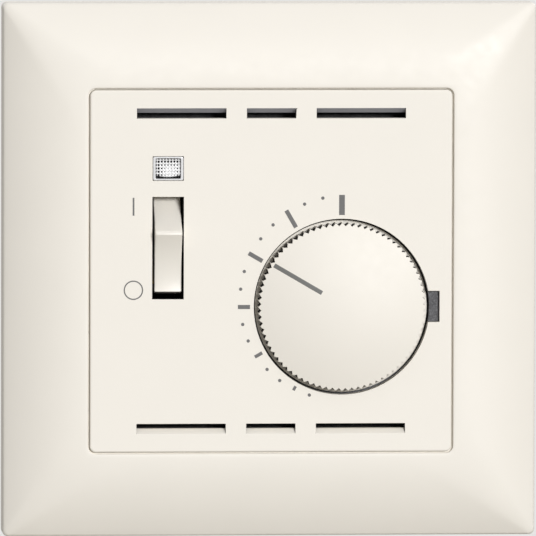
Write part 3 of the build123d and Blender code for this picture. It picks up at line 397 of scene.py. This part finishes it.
CREAM = srgb(237, 232, 222)
CREAM_FRAME = moulded("cream_frame", CREAM, 0.48, grain=0.5, depth=0.003, variation=0.008)
CREAM_PLATE = moulded("cream_plate", CREAM, 0.5, grain=0.22, depth=0.007, variation=0.006)
CREAM_KNOB = moulded("cream_knob", CREAM, 0.54, grain=0.5, depth=0.002, variation=0.006)
CREAM_ROCKER = moulded("cream_rocker", CREAM, 0.36, grain=0.5, depth=0.002, variation=0.006)
INK = moulded("mark_ink", srgb(108, 107, 106), 0.6, grain=0.12, depth=0.002, variation=0.05)
POINTER_GREY = moulded("pointer_grey", srgb(112, 112, 109), 0.5, grain=0.2, depth=0.002)
CHASSIS_PLASTIC = chassis_material()
# Near-black painted shade for the walls of the rocker's opening and the slots' ends.
DARK_SHADE_PAINT = moulded("opening_painted_shade", srgb(20, 20, 21), 0.6, 0.3, 0.01, 0.2)
# Cream greyed as painted shade, for the slots' downward-facing slopes.
SLOPE_SHADE_PAINT = moulded("slot_slope_painted_shade", srgb(188, 189, 196), 0.55, 0.3, 0.01, 0.04)
# Near-black painted shade for the valleys between the knob's teeth.
KNOB_GROOVE_SHADE = moulded("knob_groove_painted_shade", srgb(26, 25, 24), 0.7, 0.3, 0.01, 0.15)
# Brass painted near-black as shade, where the contact strip shows in the gap below the rocker.
BRASS_SHADE_PAINT = moulded("brass_painted_shade", srgb(52, 46, 38), 0.55, 0.4, 0.01, 0.25)
BLACK_PLASTIC = moulded("black_plastic", srgb(34, 34, 36), 0.5, 0.4, 0.01, 0.1)
RED_PLASTIC = moulded("red_plastic", srgb(176, 36, 30), 0.4)
BLUE_PLASTIC = moulded("blue_plastic", srgb(36, 76, 158), 0.4)
CAM_PLASTIC = moulded("cam_plastic", srgb(226, 224, 214), 0.5)
WHITE_PLASTIC = moulded("white_plastic", srgb(246, 246, 244), 0.3, grain=0.6, depth=0.002)
ZINC = rolled_metal("zinc_steel", srgb(196, 200, 204), 0.34, along=(8, 8, 1))
SCREW_STEEL = rolled_metal("screw_steel", srgb(205, 206, 206), 0.26, along=(6, 6, 6))
BRASS = rolled_metal("brass", srgb(214, 176, 98), 0.3, along=(1, 1, 8))
BUSH_METAL = rolled_metal("bush_metal", srgb(170, 138, 92), 0.5, along=(3, 3, 3), depth=0.01)
SILVER = rolled_metal("silver_contact", srgb(226, 226, 224), 0.22, along=(4, 4, 4))
TINNED = rolled_metal("tinned_wire", srgb(206, 206, 202), 0.3, along=(5, 5, 5))
MAGNET = moulded("magnet", srgb(52, 52, 55), 0.55, grain=0.15, depth=0.02, variation=0.2)
BIMETAL = bimetal_material()
LAMP_RESISTOR = resistor_material(
    "lamp_resistor",
    srgb(206, 184, 140),
    (
        (0.2, srgb(120, 60, 30)),
        (0.38, srgb(40, 40, 40)),
        (0.56, srgb(220, 190, 40)),
        (0.84, srgb(180, 140, 60)),
    ),
)
FEEDBACK_RESISTOR = resistor_material(
    "feedback_resistor",
    srgb(110, 140, 120),
    (
        (0.2, srgb(190, 40, 30)),
        (0.38, srgb(120, 60, 160)),
        (0.56, srgb(220, 190, 40)),
        (0.84, srgb(180, 140, 60)),
    ),
)


def lamp_glass_material():
    """Clear, slightly wavy glass of the lamp's bulb."""
    surface = Surface("lamp_glass", 0.03)
    surface.colour(srgb(250, 250, 250))
    surface.set("Transmission Weight", 0.92)
    surface.set("IOR", 1.49)
    surface.relief(surface.noise(1.5, 2.0), 0.004)
    return surface.material


def lens_material():
    """Clear moulded lens over a white tray, with painted refraction as dark dots at the valleys
    between its outer pyramids and a painted shadow as a dark crescent along the field's foot.
    """
    surface = Surface("clear_lens", 0.12)
    centre = (LENS_LOW + LENS_HIGH) / 2
    half_x, half_z = LENS_FIELD
    x = surface.maths("SUBTRACT", surface.axis("X"), centre.x)
    z = surface.maths("SUBTRACT", surface.axis("Z"), centre.z)

    def to_valley(value, pitch, low):
        """Distance to the nearest valley between pyramids, in pitches."""
        cells = surface.maths("DIVIDE", surface.maths("SUBTRACT", value, low), pitch)
        share = surface.maths("FRACT", surface.maths("ADD", cells, 0.5))
        return surface.maths("ABSOLUTE", surface.maths("SUBTRACT", share, 0.5))

    # Painted refraction: dark dots at the valleys, larger towards the top and the sides, smallest
    # near a bright spot right of centre.
    across = to_valley(x, 2 * half_x / LENS_COLUMNS, -half_x)
    up = to_valley(z, 2 * half_z / LENS_ROWS, -half_z)
    square_x = surface.maths("POWER", across, 2.0)
    square_z = surface.maths("POWER", up, 2.0)
    distance = surface.maths("SQRT", surface.maths("ADD", square_x, square_z))
    high = surface.spread(z, 0.0, 0.32, half_z * 0.45, half_z * 0.5)
    from_painted_bright_spot = surface.maths("ABSOLUTE", surface.maths("SUBTRACT", x, 0.35))
    wide = surface.spread(from_painted_bright_spot, 0.0, 0.3, 1.4, 0.9)
    dot_size = surface.maths("ADD", surface.maths("MAXIMUM", high, wide), 0.1)
    painted_refraction_dots = surface.spread(surface.maths("SUBTRACT", dot_size, distance), 0, 1, -0.02, 0.05)
    inside_x = surface.maths("LESS_THAN", surface.maths("ABSOLUTE", x), half_x)
    inside_z = surface.maths("LESS_THAN", surface.maths("ABSOLUTE", z), half_z)
    field = surface.maths("MULTIPLY", inside_x, inside_z)
    # Painted shadow: a dark crescent along the foot of the field.
    square = surface.maths("POWER", surface.maths("ABSOLUTE", x), 2.0)
    curve = surface.maths("MULTIPLY", square, 0.07)
    above_foot = surface.maths("ADD", surface.maths("SUBTRACT", z, curve), half_z)
    painted_shadow_crescent = surface.spread(above_foot, 1, 0, 0.28, 0.1)
    # The field's darkening is all painted refraction and painted shadow.
    dark = surface.maths("MULTIPLY", surface.maths("MAXIMUM", painted_refraction_dots, painted_shadow_crescent), field)
    slow = surface.spread(surface.noise(1.4, 2.0), 0, 1)
    rim = surface.mix(slow, srgb(222, 222, 223), srgb(236, 236, 237))
    clear = surface.mix(field, rim, srgb(250, 250, 250))
    surface.colour(surface.mix(dark, clear, srgb(20, 20, 22)))
    surface.set("Coat Weight", 0.5)
    surface.set("Coat Roughness", 0.05)
    surface.set("IOR", 1.49)
    surface.relief(surface.noise(0.9, 2.0), 0.002)
    return surface.material


LAMP_GLASS = lamp_glass_material()
CLEAR_LENS = lens_material()


# Cover frame -----------------------------------------------------------------------------------


def pillow_depth(inset):
    """Depth of the frame's face at a distance in from its outer edge."""
    run = FRAME_BAND - inset
    return FRONT_Y + PILLOW_R - math.sqrt(PILLOW_R**2 - run**2)


def blend_radius(inset):
    """Corner radius of the face's contour at an inset: corners grow rounder inwards."""
    return FRAME_CORNER_R + (FRAME_BLEND_R - FRAME_CORNER_R) * inset / FRAME_BAND


def outside(x, z, half, radius):
    """Signed distance of a point from a rounded square, positive outside."""
    dx = abs(x) - (half - radius)
    dz = abs(z) - (half - radius)
    return math.hypot(max(dx, 0), max(dz, 0)) + min(max(dx, dz), 0) - radius


def face_depth(x, z):
    """Depth of the frame's face above any point of its band."""
    low, high = 0.0, FRAME_BAND
    for _ in range(30):
        middle = (low + high) / 2
        if outside(x, z, FRAME_HALF - middle, blend_radius(middle)) < 0:
            low = middle
        else:
            high = middle
    return pillow_depth((low + high) / 2)


SIDE_STEPS = 44
CORNER_STEPS = 10


def side_stations():
    """Places along one side, from -1 to 1, close together near the corners."""
    return [-math.cos(math.pi * step / SIDE_STEPS) for step in range(SIDE_STEPS)]


def square_ring(half, radius):
    """Rounded square as (x, z) points, anticlockwise from the lower right corner."""
    straight = half - radius
    points = []
    for side in range(4):
        turn = math.radians(90 * side)
        cosine, sine = math.cos(turn), math.sin(turn)
        along = [(half, straight * station) for station in side_stations()]
        for step in range(CORNER_STEPS):
            angle = math.radians(90 * step / CORNER_STEPS)
            along.append((straight + radius * math.cos(angle), straight + radius * math.sin(angle)))
        points += [(x * cosine - z * sine, x * sine + z * cosine) for x, z in along]
    return points


def cover_frame_rings():
    """Closed loop of rings round the frame's section, outer wall first."""
    rings = []

    def add(half, radius, depth):
        """depth is a number, or a function of x and z."""
        ring = []
        for x, z in square_ring(half, radius):
            y = depth(x, z) if callable(depth) else depth
            ring.append((x, y, z))
        rings.append(ring)

    # Foot, outer wall and rounded outer edge.
    edge_inset = FRAME_EDGE_R * (1 - math.cos(FRAME_EDGE_TURN))
    edge_y = pillow_depth(edge_inset) + FRAME_EDGE_R * math.sin(FRAME_EDGE_TURN)
    add(FRAME_HALF - FRAME_FOOT, FRAME_CORNER_R, 0.0)
    add(FRAME_HALF - FRAME_FOOT * 0.3, FRAME_CORNER_R, -FRAME_FOOT * 0.3)
    add(FRAME_HALF, FRAME_CORNER_R, -FRAME_FOOT)
    add(FRAME_HALF, FRAME_CORNER_R, edge_y * 0.5)
    edge_steps = 6
    for step in range(edge_steps + 1):
        turn = FRAME_EDGE_TURN * step / edge_steps
        inset = FRAME_EDGE_R * (1 - math.cos(turn))
        add(FRAME_HALF - inset, blend_radius(inset), edge_y - FRAME_EDGE_R * math.sin(turn))

    # Curved face, as far as the rounded lip of the opening.
    face_steps = 30
    inner = FRAME_BAND - FRAME_LIP
    start_r = blend_radius(edge_inset)
    for step in range(1, face_steps + 1):
        inset = edge_inset + (inner - edge_inset) * step / face_steps
        radius = start_r + (OPENING_CORNER_R + FRAME_LIP - start_r) * step / face_steps
        add(FRAME_HALF - inset, radius, face_depth)
    half = FRAME_HALF - FRAME_BAND
    lip_steps = 4
    for step in range(1, lip_steps + 1):
        turn = math.radians(90) * step / lip_steps
        out = FRAME_LIP * (1 - math.sin(turn))
        drop = FRAME_LIP * (1 - math.cos(turn))
        add(half + out, OPENING_CORNER_R + out, lambda x, z, drop=drop: face_depth(x, z) + drop)

    # Ledge and wall of the opening, then the hollow behind the face.
    ledge_y = FRONT_Y + LEDGE_DROP
    ledge = half - LEDGE_DEPTH
    add(half, OPENING_CORNER_R, ledge_y)
    add(ledge, OPENING_CORNER_R - LEDGE_CORNER, ledge_y + 0.03)
    add(ledge, OPENING_CORNER_R - LEDGE_CORNER, ledge_y + 0.6)
    add(half, OPENING_CORNER_R, ledge_y + 0.7)
    add(half, OPENING_CORNER_R, FRAME_SKIRT_Y)
    skirt = half + FRAME_SKIRT
    add(skirt, FRAME_SKIRT_CORNER_R, FRAME_SKIRT_Y)
    under_steps = 10
    for step in range(under_steps + 1):
        share = step / under_steps
        under_half = skirt + (FRAME_HALF - FRAME_WALL - skirt) * share
        rounder = blend_radius(FRAME_WALL) - FRAME_SKIRT_CORNER_R
        radius = FRAME_SKIRT_CORNER_R + rounder * share
        add(under_half, radius, lambda x, z: face_depth(x, z) + FRAME_WALL)
    add(FRAME_HALF - FRAME_WALL, blend_radius(FRAME_WALL), 0.0)
    return rings


def box_shell(low, high):
    """Points and faces of a closed box, for plain inner details of a larger piece."""
    xs, ys, zs = zip(low, high)
    points = [(x, y, z) for x in xs for y in ys for z in zs]
    faces = [(0, 1, 3, 2), (4, 6, 7, 5), (0, 4, 5, 1), (2, 3, 7, 6), (0, 2, 6, 4), (1, 5, 7, 3)]
    return points, faces


def make_cover_frame():
    """Hollow frame with a convex face and the eight pegs that enter the steel plate."""
    rings = cover_frame_rings()
    points = [point for ring in rings for point in ring]
    faces = ring_faces(len(rings), len(rings[0]), closed=True)
    peg_front, peg_back = PEG_SPAN_Y
    for turn in range(4):
        angle = math.radians(90 * turn)
        cosine, sine = math.cos(angle), math.sin(angle)
        for along in (-PEG_ALONG, PEG_ALONG):
            low = (along - PEG_LENGTH / 2, peg_front, PEG_OUT - PEG_WIDTH / 2)
            high = (along + PEG_LENGTH / 2, peg_back, PEG_OUT + PEG_WIDTH / 2)
            peg_points, peg_faces = box_shell(low, high)
            base = len(points)
            points += [(x * cosine + z * sine, y, z * cosine - x * sine) for x, y, z in peg_points]
            faces += [tuple(base + corner for corner in face) for face in peg_faces]
    mesh_piece("cover_frame_shell", points, faces, CREAM_FRAME, "cover_frame", 50)


# Knob ------------------------------------------------------------------------------------------


def dome_depth(radius):
    """Depth of the knob's convex face at a distance from its axis."""
    return KNOB_CROWN_Y + KNOB_DOME_R - math.sqrt(KNOB_DOME_R**2 - radius**2)


TOOTH_STEPS = 8


def knob_front(radius):
    """Depth of the knob's front at a radius: the dome, then the rounded rim."""
    if radius <= KNOB_FACE_R:
        return dome_depth(radius)
    out = min(radius - KNOB_FACE_R, KNOB_RIM_R)
    return dome_depth(KNOB_FACE_R) + KNOB_RIM_R - math.sqrt(KNOB_RIM_R**2 - out**2)


def tooth_cut(step):
    """How far the toothed edge lies below its tips, as a share of the tooth's depth."""
    phase = (step % TOOTH_STEPS) / TOOTH_STEPS
    return max(0.05, 1 - abs(2 * phase - 1))


def make_knob():
    """Domed knob with a toothed edge over a plain flange, and its hub and collar behind."""
    count = KNOB_TEETH * TOOTH_STEPS
    points = []

    def ring(radius, y):
        """radius and y are numbers, or functions of the step round the knob."""
        for step in range(count):
            r = radius(step) if callable(radius) else radius
            depth = y(step) if callable(y) else y
            angle = 2 * math.pi * step / count
            points.append((DIAL_X + r * math.cos(angle), depth, DIAL_Z + r * math.sin(angle)))

    def toothed(tip, inset=0.0):
        return lambda step: tip - KNOB_TOOTH_DEPTH * tooth_cut(step) - inset

    flange = (
        (KNOB_FLANGE_R - KNOB_EDGE, KNOB_SKIRT_Y),
        (KNOB_FLANGE_R, KNOB_SKIRT_Y - KNOB_EDGE),
        (KNOB_FLANGE_R, KNOB_FLANGE_Y + KNOB_EDGE),
        (KNOB_FLANGE_R - KNOB_EDGE * 0.3, KNOB_FLANGE_Y + KNOB_EDGE * 0.3),
        (KNOB_FLANGE_R - KNOB_EDGE, KNOB_FLANGE_Y),
    )
    for radius, y in KNOB_HUB + KNOB_COLLAR + flange:
        ring(radius, y)
    ring(toothed(KNOB_TIP_R), KNOB_FLANGE_Y)
    wall_end = knob_front(KNOB_TOP_TIP_R) + KNOB_EDGE
    wall_steps = 5
    for step in range(1, wall_steps + 1):
        share = step / wall_steps
        tip = KNOB_TIP_R + (KNOB_TOP_TIP_R - KNOB_TIP_R) * share
        top = toothed(tip)
        low = KNOB_FLANGE_Y + (wall_end - KNOB_FLANGE_Y) * share
        ring(top, lambda s, top=top, low=low: max(low, knob_front(top(s)) + KNOB_EDGE * 0.5))
    for inset in (0.0, 0.04, 0.1, 0.18, 0.28):
        front = toothed(KNOB_TOP_TIP_R, inset)
        sink = KNOB_EDGE * 0.25 if inset == 0.0 else 0.0
        ring(front, lambda s, front=front, sink=sink: knob_front(front(s)) + sink)
    face_steps = 26
    inside_teeth = KNOB_TOP_TIP_R - KNOB_TOOTH_DEPTH - 0.34
    for step in range(face_steps):
        radius = inside_teeth * (1 - step / face_steps)
        ring(radius, dome_depth(radius))
    ring(0.02, KNOB_CROWN_Y)
    rings = len(points) // count
    faces = ring_faces(rings, count)
    faces.append(tuple(range(count)))
    faces.append(tuple(range((rings - 1) * count, rings * count)))
    piece = mesh_piece("knob_shell", points, faces, CREAM_KNOB, "knob", 28)

    # The grooves between the teeth get a near-black painted shade.
    piece.data.materials.append(KNOB_GROOVE_SHADE)
    for face in piece.data.polygons:
        centre = face.center / MM
        reach = math.hypot(centre.x - DIAL_X, centre.z - DIAL_Z)
        in_wall = knob_front(KNOB_TOP_TIP_R) < centre.y < KNOB_FLANGE_Y - 0.02
        if in_wall and KNOB_FACE_R - 0.3 < reach < KNOB_TOP_TIP_R - 0.12:
            face.material_index = 1


def make_pointer():
    """Grey line on the knob's face that follows its dome."""
    inner, outer = POINTER_SPAN
    cosine, sine = math.cos(POINTER_ANGLE), math.sin(POINTER_ANGLE)
    along, across = 40, 6
    points = []
    for level in range(2):
        for step in range(along + 1):
            radius = inner + (outer - inner) * step / along
            for side in range(across + 1):
                offset = POINTER_WIDTH * (side / across - 0.5) + POINTER_OFFSET
                reach = math.hypot(radius, offset)
                on_edge = side in (0, across) or step in (0, along)
                proud = 0.004 if on_edge else 0.014
                y = dome_depth(reach) - proud if level == 0 else dome_depth(reach) + 0.25
                x = DIAL_X + radius * cosine - offset * sine
                z = DIAL_Z + radius * sine + offset * cosine
                points.append((x, y, z))
    row = across + 1
    sheet = row * (along + 1)
    faces = []
    for level in range(2):
        for step in range(along):
            for side in range(across):
                a = level * sheet + step * row + side
                faces.append((a, a + 1, a + row + 1, a + row))
    border = list(range(row))
    border += [step * row + across for step in range(1, along + 1)]
    border += [along * row + side for side in range(across - 1, -1, -1)]
    border += [step * row for step in range(along - 1, 0, -1)]
    for here, there in zip(border, border[1:] + border[:1]):
        faces.append((here, there, there + sheet, here + sheet))
    mesh_piece("knob_pointer_line", points, faces, POINTER_GREY, "knob_pointer", 40)


# Rocker ----------------------------------------------------------------------------------------


def rocker_profile():
    """Closed side view of the rocker about its pivot, as (towards the room, up)."""
    nose, end = ROCKER_NOSE_SLOPE, ROCKER_END_SLOPE
    flank_r = ROCKER_HALF_LENGTH / (math.sin(nose) - math.sin(end))

    def facing(turn):
        return Vector((math.cos(turn), math.sin(turn)))

    # The ridge is a sharp lower edge and a round crest that meet in one direction.
    arcs = ((RIDGE_EDGE_R, -nose, RIDGE_MEETING, 4), (RIDGE_CREST_R, RIDGE_MEETING, nose, 12))
    shift = Vector((0, 0))
    for radius, first, last, _ in arcs:
        shift += radius * (facing(last) - facing(first))
    lower_cut = (shift.y + shift.x / math.tan(nose)) / 2
    upper_cut = (shift.y - shift.x / math.tan(nose)) / 2
    steps = 26
    gap = 0.02
    upper, lower = [], []
    for step in range(steps + 1):
        slope = nose + (end - nose) * step / steps
        run = flank_r * (math.sin(nose) - math.sin(slope))
        height = ROCKER_NOSE_R - flank_r * (math.cos(slope) - math.cos(nose))
        if run > upper_cut + gap:
            upper.append((height, run))
        if run > lower_cut + gap:
            lower.append((height, -run))
    place = Vector((ROCKER_NOSE_R - lower_cut * math.tan(nose), -lower_cut))
    tip = [tuple(place)]
    for radius, first, last, count in arcs:
        for step in range(1, count + 1):
            turn = first + (last - first) * step / count
            tip.append(tuple(place + radius * (facing(turn) - facing(first))))
        place = place + radius * (facing(last) - facing(first))
    end_out, end_up = upper[-1]
    back = [(end_out - ROCKER_END_DEPTH, end_up), *ROCKER_STEM]
    return lower[::-1] + tip + upper + back + [(out, -up) for out, up in reversed(back)]


def make_rocker():
    """Rocker with rounded edges, tilted to its on position."""
    outline = rocker_profile()
    total = len(outline)
    cosine, sine = math.cos(ROCKER_TILT), math.sin(ROCKER_TILT)
    steps = 5
    stations = []
    for side, turns in ((-1, range(steps + 1)), (1, range(steps, -1, -1))):
        for step in turns:
            turn = math.radians(90) * step / steps
            inset = ROCKER_EDGE_R * (1 - math.sin(turn))
            x = side * (ROCKER_WIDTH / 2 - ROCKER_EDGE_R * (1 - math.cos(turn)))
            stations.append((x, inset))
    normals = []
    for index in range(total):
        before, after = outline[index - 1], outline[(index + 1) % total]
        run, rise = after[0] - before[0], after[1] - before[1]
        length = math.hypot(run, rise)
        normals.append((rise / length, -run / length))
    points = []
    for x, inset in stations:
        for (out, up), (normal_out, normal_up) in zip(outline, normals):
            out, up = out - normal_out * inset, up - normal_up * inset
            y = PIVOT_Y - (out * cosine - up * sine)
            z = PIVOT_Z + up * cosine + out * sine
            points.append((SWITCH_X + x, y, z))
    faces = ring_faces(len(stations), total)
    faces.append(tuple(range(total)))
    faces.append(tuple(range(len(points) - total, len(points))))
    mesh_piece("rocker_shell", points, faces, CREAM_ROCKER, "rocker", 30)


# Indicator lens --------------------------------------------------------------------------------


def make_lens():
    """Lens with a rounded rim and a recessed field of small pyramids."""
    centre_x = (LENS_LOW.x + LENS_HIGH.x) / 2
    centre_z = (LENS_LOW.z + LENS_HIGH.z) / 2
    half_x, half_z = LENS_HALF
    field_x, field_z = LENS_FIELD
    front, back = LENS_LOW.y, LENS_HIGH.y
    flange_y = back - LENS_FLANGE_THICKNESS
    tip_y = front + PYRAMID_DROP
    field_y = tip_y + PYRAMID_HEIGHT
    corner_steps = 6
    count = 4 * (corner_steps + 1)
    points = []

    def ring(size_x, size_z, radius, y):
        """Rounded rectangle of points, given its half sizes."""
        for side, (sign_x, sign_z) in enumerate(((1, 1), (-1, 1), (-1, -1), (1, -1))):
            for step in range(corner_steps + 1):
                angle = math.radians(90 * side + 90 * step / corner_steps)
                x = sign_x * (size_x - radius) + radius * math.cos(angle)
                z = sign_z * (size_z - radius) + radius * math.sin(angle)
                points.append((centre_x + x, y, centre_z + z))

    ring(half_x + LENS_FLANGE, half_z + LENS_FLANGE, 0.3, back)
    ring(half_x + LENS_FLANGE, half_z + LENS_FLANGE, 0.3, flange_y)
    ring(half_x, half_z, 0.3, flange_y)
    ring(half_x, half_z, 0.3, front + 0.14)
    ring(half_x - 0.05, half_z - 0.05, 0.28, front + 0.04)
    ring(half_x - 0.14, half_z - 0.14, 0.25, front)
    ring(field_x + 0.1, field_z + 0.1, 0.3, front)
    ring(field_x + 0.03, field_z + 0.03, 0.28, front + 0.04)
    ring(field_x, field_z, 0.26, field_y)
    faces = ring_faces(len(points) // count, count)
    faces.append(tuple(range(count)))
    faces.append(tuple(range(len(points) - count, len(points))))
    pitch_x = 2 * field_x / LENS_COLUMNS
    pitch_z = 2 * field_z / LENS_ROWS
    for column in range(LENS_COLUMNS):
        for row in range(LENS_ROWS):
            x0 = centre_x - field_x + column * pitch_x
            z0 = centre_z - field_z + row * pitch_z
            x1, z1 = x0 + pitch_x, z0 + pitch_z
            base = len(points)
            points += [(x, field_y, z) for x, z in ((x0, z0), (x1, z0), (x1, z1), (x0, z1))]
            points.append((x0 + pitch_x / 2, tip_y, z0 + pitch_z / 2))
            faces += [(base, base + 1, base + 4), (base + 1, base + 2, base + 4)]
            faces += [(base + 2, base + 3, base + 4), (base + 3, base, base + 4)]
            faces.append((base, base + 3, base + 2, base + 1))
    mesh_piece("indicator_lens_moulding", points, faces, CLEAR_LENS, "indicator_lens", 25)


# The other pieces ------------------------------------------------------------------------------

SOFTENED = {
    "cover_plate": (CREAM_PLATE, 0.05),
    "chassis": (CHASSIS_PLASTIC, 0.06),
    "rear_housing": (BLACK_PLASTIC, 0.25),
    "mounting_plate": (ZINC, 0.12),
    "housing_screws": (SCREW_STEEL, 0.08),
    "terminal_screws": (SCREW_STEEL, 0.08),
    "switch_housing": (BLACK_PLASTIC, 0.15),
    "lamp_holder": (WHITE_PLASTIC, 0.1),
}

PLAIN = {
    "scale_marks": INK,
    "switch_marks": INK,
    "min_limit_ring": BLUE_PLASTIC,
    "max_limit_ring": RED_PLASTIC,
    "spindle": SCREW_STEEL,
    "spindle_bush": BUSH_METAL,
    "spindle_clip": SCREW_STEEL,
    "setpoint_cam": CAM_PLASTIC,
    "setpoint_lever": CAM_PLASTIC,
    "lever_pivot_pin": SCREW_STEEL,
    "lever_contact": SILVER,
    "snap_magnet": MAGNET,
    "lever_strip": BRASS,
    "bimetal_strip": BIMETAL,
    "bimetal_contact": SILVER,
    "armature": SCREW_STEEL,
    "bimetal_clamp": BRASS,
    "calibration_screw": SCREW_STEEL,
    "plunger": SCREW_STEEL,
    "plunger_spring": SCREW_STEEL,
    "rocker_axle": SCREW_STEEL,
    "switch_blade": BRASS,
    "blade_contact": SILVER,
    "switch_fulcrum": BRASS,
    "switch_fixed_contact": SILVER,
    "switch_contact_strip": BRASS_SHADE_PAINT,
    "neon_lamp": LAMP_GLASS,
    "lamp_leads": TINNED,
    "lamp_resistor": LAMP_RESISTOR,
    "feedback_resistor": FEEDBACK_RESISTOR,
    "feedback_leads": TINNED,
    "terminal_cages": BRASS,
}


def dress(node, material):
    """Give a carried-over CAD node its finished material."""
    mesh = NODES[node].data
    mesh.materials.clear()
    mesh.materials.append(material)


def line_openings(plate):
    """Painted shade on the plate: near-black on the rocker opening's walls, all but the top one,
    and on the slots' end walls; grey painted shade on the slots' downward-facing slopes.
    """
    plate.data.materials.append(DARK_SHADE_PAINT)
    plate.data.materials.append(SLOPE_SHADE_PAINT)
    margin = 0.05
    half_x, half_z = OPENING_HALF
    for face in plate.data.polygons:
        centre = face.center / MM
        if centre.y < FRONT_Y + 0.06 or centre.y > PLATE_BACK_Y + 0.01:
            continue
        in_x = abs(centre.x - SWITCH_X) < half_x + margin
        in_z = abs(centre.z - PIVOT_Z) < half_z + margin
        painted_dark = in_x and in_z and face.normal.z > -0.9
        in_slot = abs(abs(centre.z) - VENT_Z) < VENT_HALF
        # Painted shade: the opening's side and lower walls and the slots' end walls go near-black.
        if painted_dark or (in_slot and abs(face.normal.x) > 0.9):
            face.material_index = 1
        # Downward-facing slopes in the slots get the grey painted shade.
        elif in_slot and face.normal.z < -0.5 and face.normal.y < -0.1:
            face.material_index = 2


# Stage, light and camera -----------------------------------------------------------------------


def toward(azimuth, elevation):
    """Direction from the object to a place in the room, in degrees round from the front and up."""
    a, e = math.radians(azimuth), math.radians(elevation)
    return Vector((math.sin(a) * math.cos(e), -math.cos(a) * math.cos(e), math.sin(e)))


def make_stage():
    """Plain pale floor, in metres, well under the object."""
    half = 0.62
    z = CAD_LOW.z - 1.5
    corners = [(-half, -half, z), (half, -half, z), (half, half, z), (-half, half, z)]
    mesh = bpy.data.meshes.new("floor")
    mesh.from_pydata(corners, [], [(0, 1, 2, 3)])
    surface = Surface("floor_paper", 0.8)
    tone = surface.spread(surface.noise(60.0, 2.0), 0, 1)
    surface.colour(surface.mix(tone, srgb(237, 231, 218), srgb(241, 235, 222)))
    mesh.materials.append(surface.material)
    floor = bpy.data.objects.new("floor", mesh)
    bpy.context.scene.collection.objects.link(floor)


def area_light(name, azimuth, elevation, size, power, tint):
    """Square area light aimed at the object, sizes in metres and power in watts."""
    distance = 4.0
    light = bpy.data.lights.new(name, "AREA")
    light.shape = "SQUARE"
    light.size = size
    light.energy = power
    light.color = tint
    lamp = bpy.data.objects.new(name, light)
    back = toward(azimuth, elevation)
    lamp.location = back * distance
    lamp.rotation_mode = "QUATERNION"
    lamp.rotation_quaternion = back.to_track_quat("Z", "Y")
    bpy.context.scene.collection.objects.link(lamp)


def make_world():
    """Soft surroundings, brighter and cooler above than below, in front of a pale backdrop."""
    world = bpy.data.worlds.new("studio")
    world.use_nodes = True
    tree = world.node_tree
    background = tree.nodes["Background"]
    split = tree.nodes.new("ShaderNodeSeparateXYZ")
    tree.links.new(tree.nodes.new("ShaderNodeTexCoord").outputs["Generated"], split.inputs[0])
    seen_directly = tree.nodes.new("ShaderNodeLightPath").outputs["Is Camera Ray"]

    def by_height(below, above):
        """Value that rises from straight below to straight above."""
        node = tree.nodes.new("ShaderNodeMapRange")
        node.inputs["From Min"].default_value = -1.0
        node.inputs["From Max"].default_value = 1.0
        node.inputs["To Min"].default_value = below
        node.inputs["To Max"].default_value = above
        tree.links.new(split.outputs["Z"], node.inputs["Value"])
        return node.outputs["Result"]

    strength = tree.nodes.new("ShaderNodeMix")
    strength.inputs["B"].default_value = 0.8
    tree.links.new(seen_directly, strength.inputs["Factor"])
    tree.links.new(by_height(0.035, 0.59), strength.inputs["A"])
    tree.links.new(strength.outputs["Result"], background.inputs["Strength"])

    light = tree.nodes.new("ShaderNodeMix")
    light.data_type = "RGBA"
    light.inputs[MIX_A].default_value = (1, 0.945, 0.79, 1)
    light.inputs[MIX_B].default_value = (1, 1.015, 1.07, 1)
    tree.links.new(by_height(0, 1), light.inputs["Factor"])
    seen = tree.nodes.new("ShaderNodeMix")
    seen.data_type = "RGBA"
    seen.inputs[MIX_B].default_value = (1, 0.985, 0.96, 1)
    tree.links.new(seen_directly, seen.inputs["Factor"])
    tree.links.new(light.outputs[MIX_OUT], seen.inputs[MIX_A])
    tree.links.new(seen.outputs[MIX_OUT], background.inputs["Color"])
    bpy.context.scene.world = world


def make_lights():
    area_light("key", 17, 12, 0.8, 120, (1.0, 1.0, 1.01))
    area_light("left_back", -140, 30, 1.5, 50, (1.0, 1.0, 1.0))
    area_light("right_back", 140, 30, 1.5, 50, (1.0, 1.0, 1.0))


def make_camera():
    """Long lens, a little above and to the left of the object's axis."""
    distance = 1.963
    roll = math.radians(0.146)
    target = Vector((-0.24, FRONT_Y * 0.6, 0.245)) * MM
    data = bpy.data.cameras.new("camera")
    data.lens = 800
    data.sensor_width = 36
    data.clip_start, data.clip_end = 0.1, 12
    camera = bpy.data.objects.new("camera", data)
    back = toward(-4.2, 4.0)
    camera.location = target + back * distance
    camera.rotation_mode = "QUATERNION"
    camera.rotation_quaternion = back.to_track_quat("Z", "Y") @ Quaternion((0, 0, 1), roll)
    bpy.context.scene.collection.objects.link(camera)
    bpy.context.scene.camera = camera


make_cover_frame()
make_knob()
make_pointer()
make_rocker()
make_lens()
pieces = {node: softened(node, *look) for node, look in SOFTENED.items()}
line_openings(pieces["cover_plate"])
for node, material in PLAIN.items():
    dress(node, material)
make_stage()
make_world()
make_lights()
make_camera()
bpy.context.scene.view_settings.view_transform = "Standard"
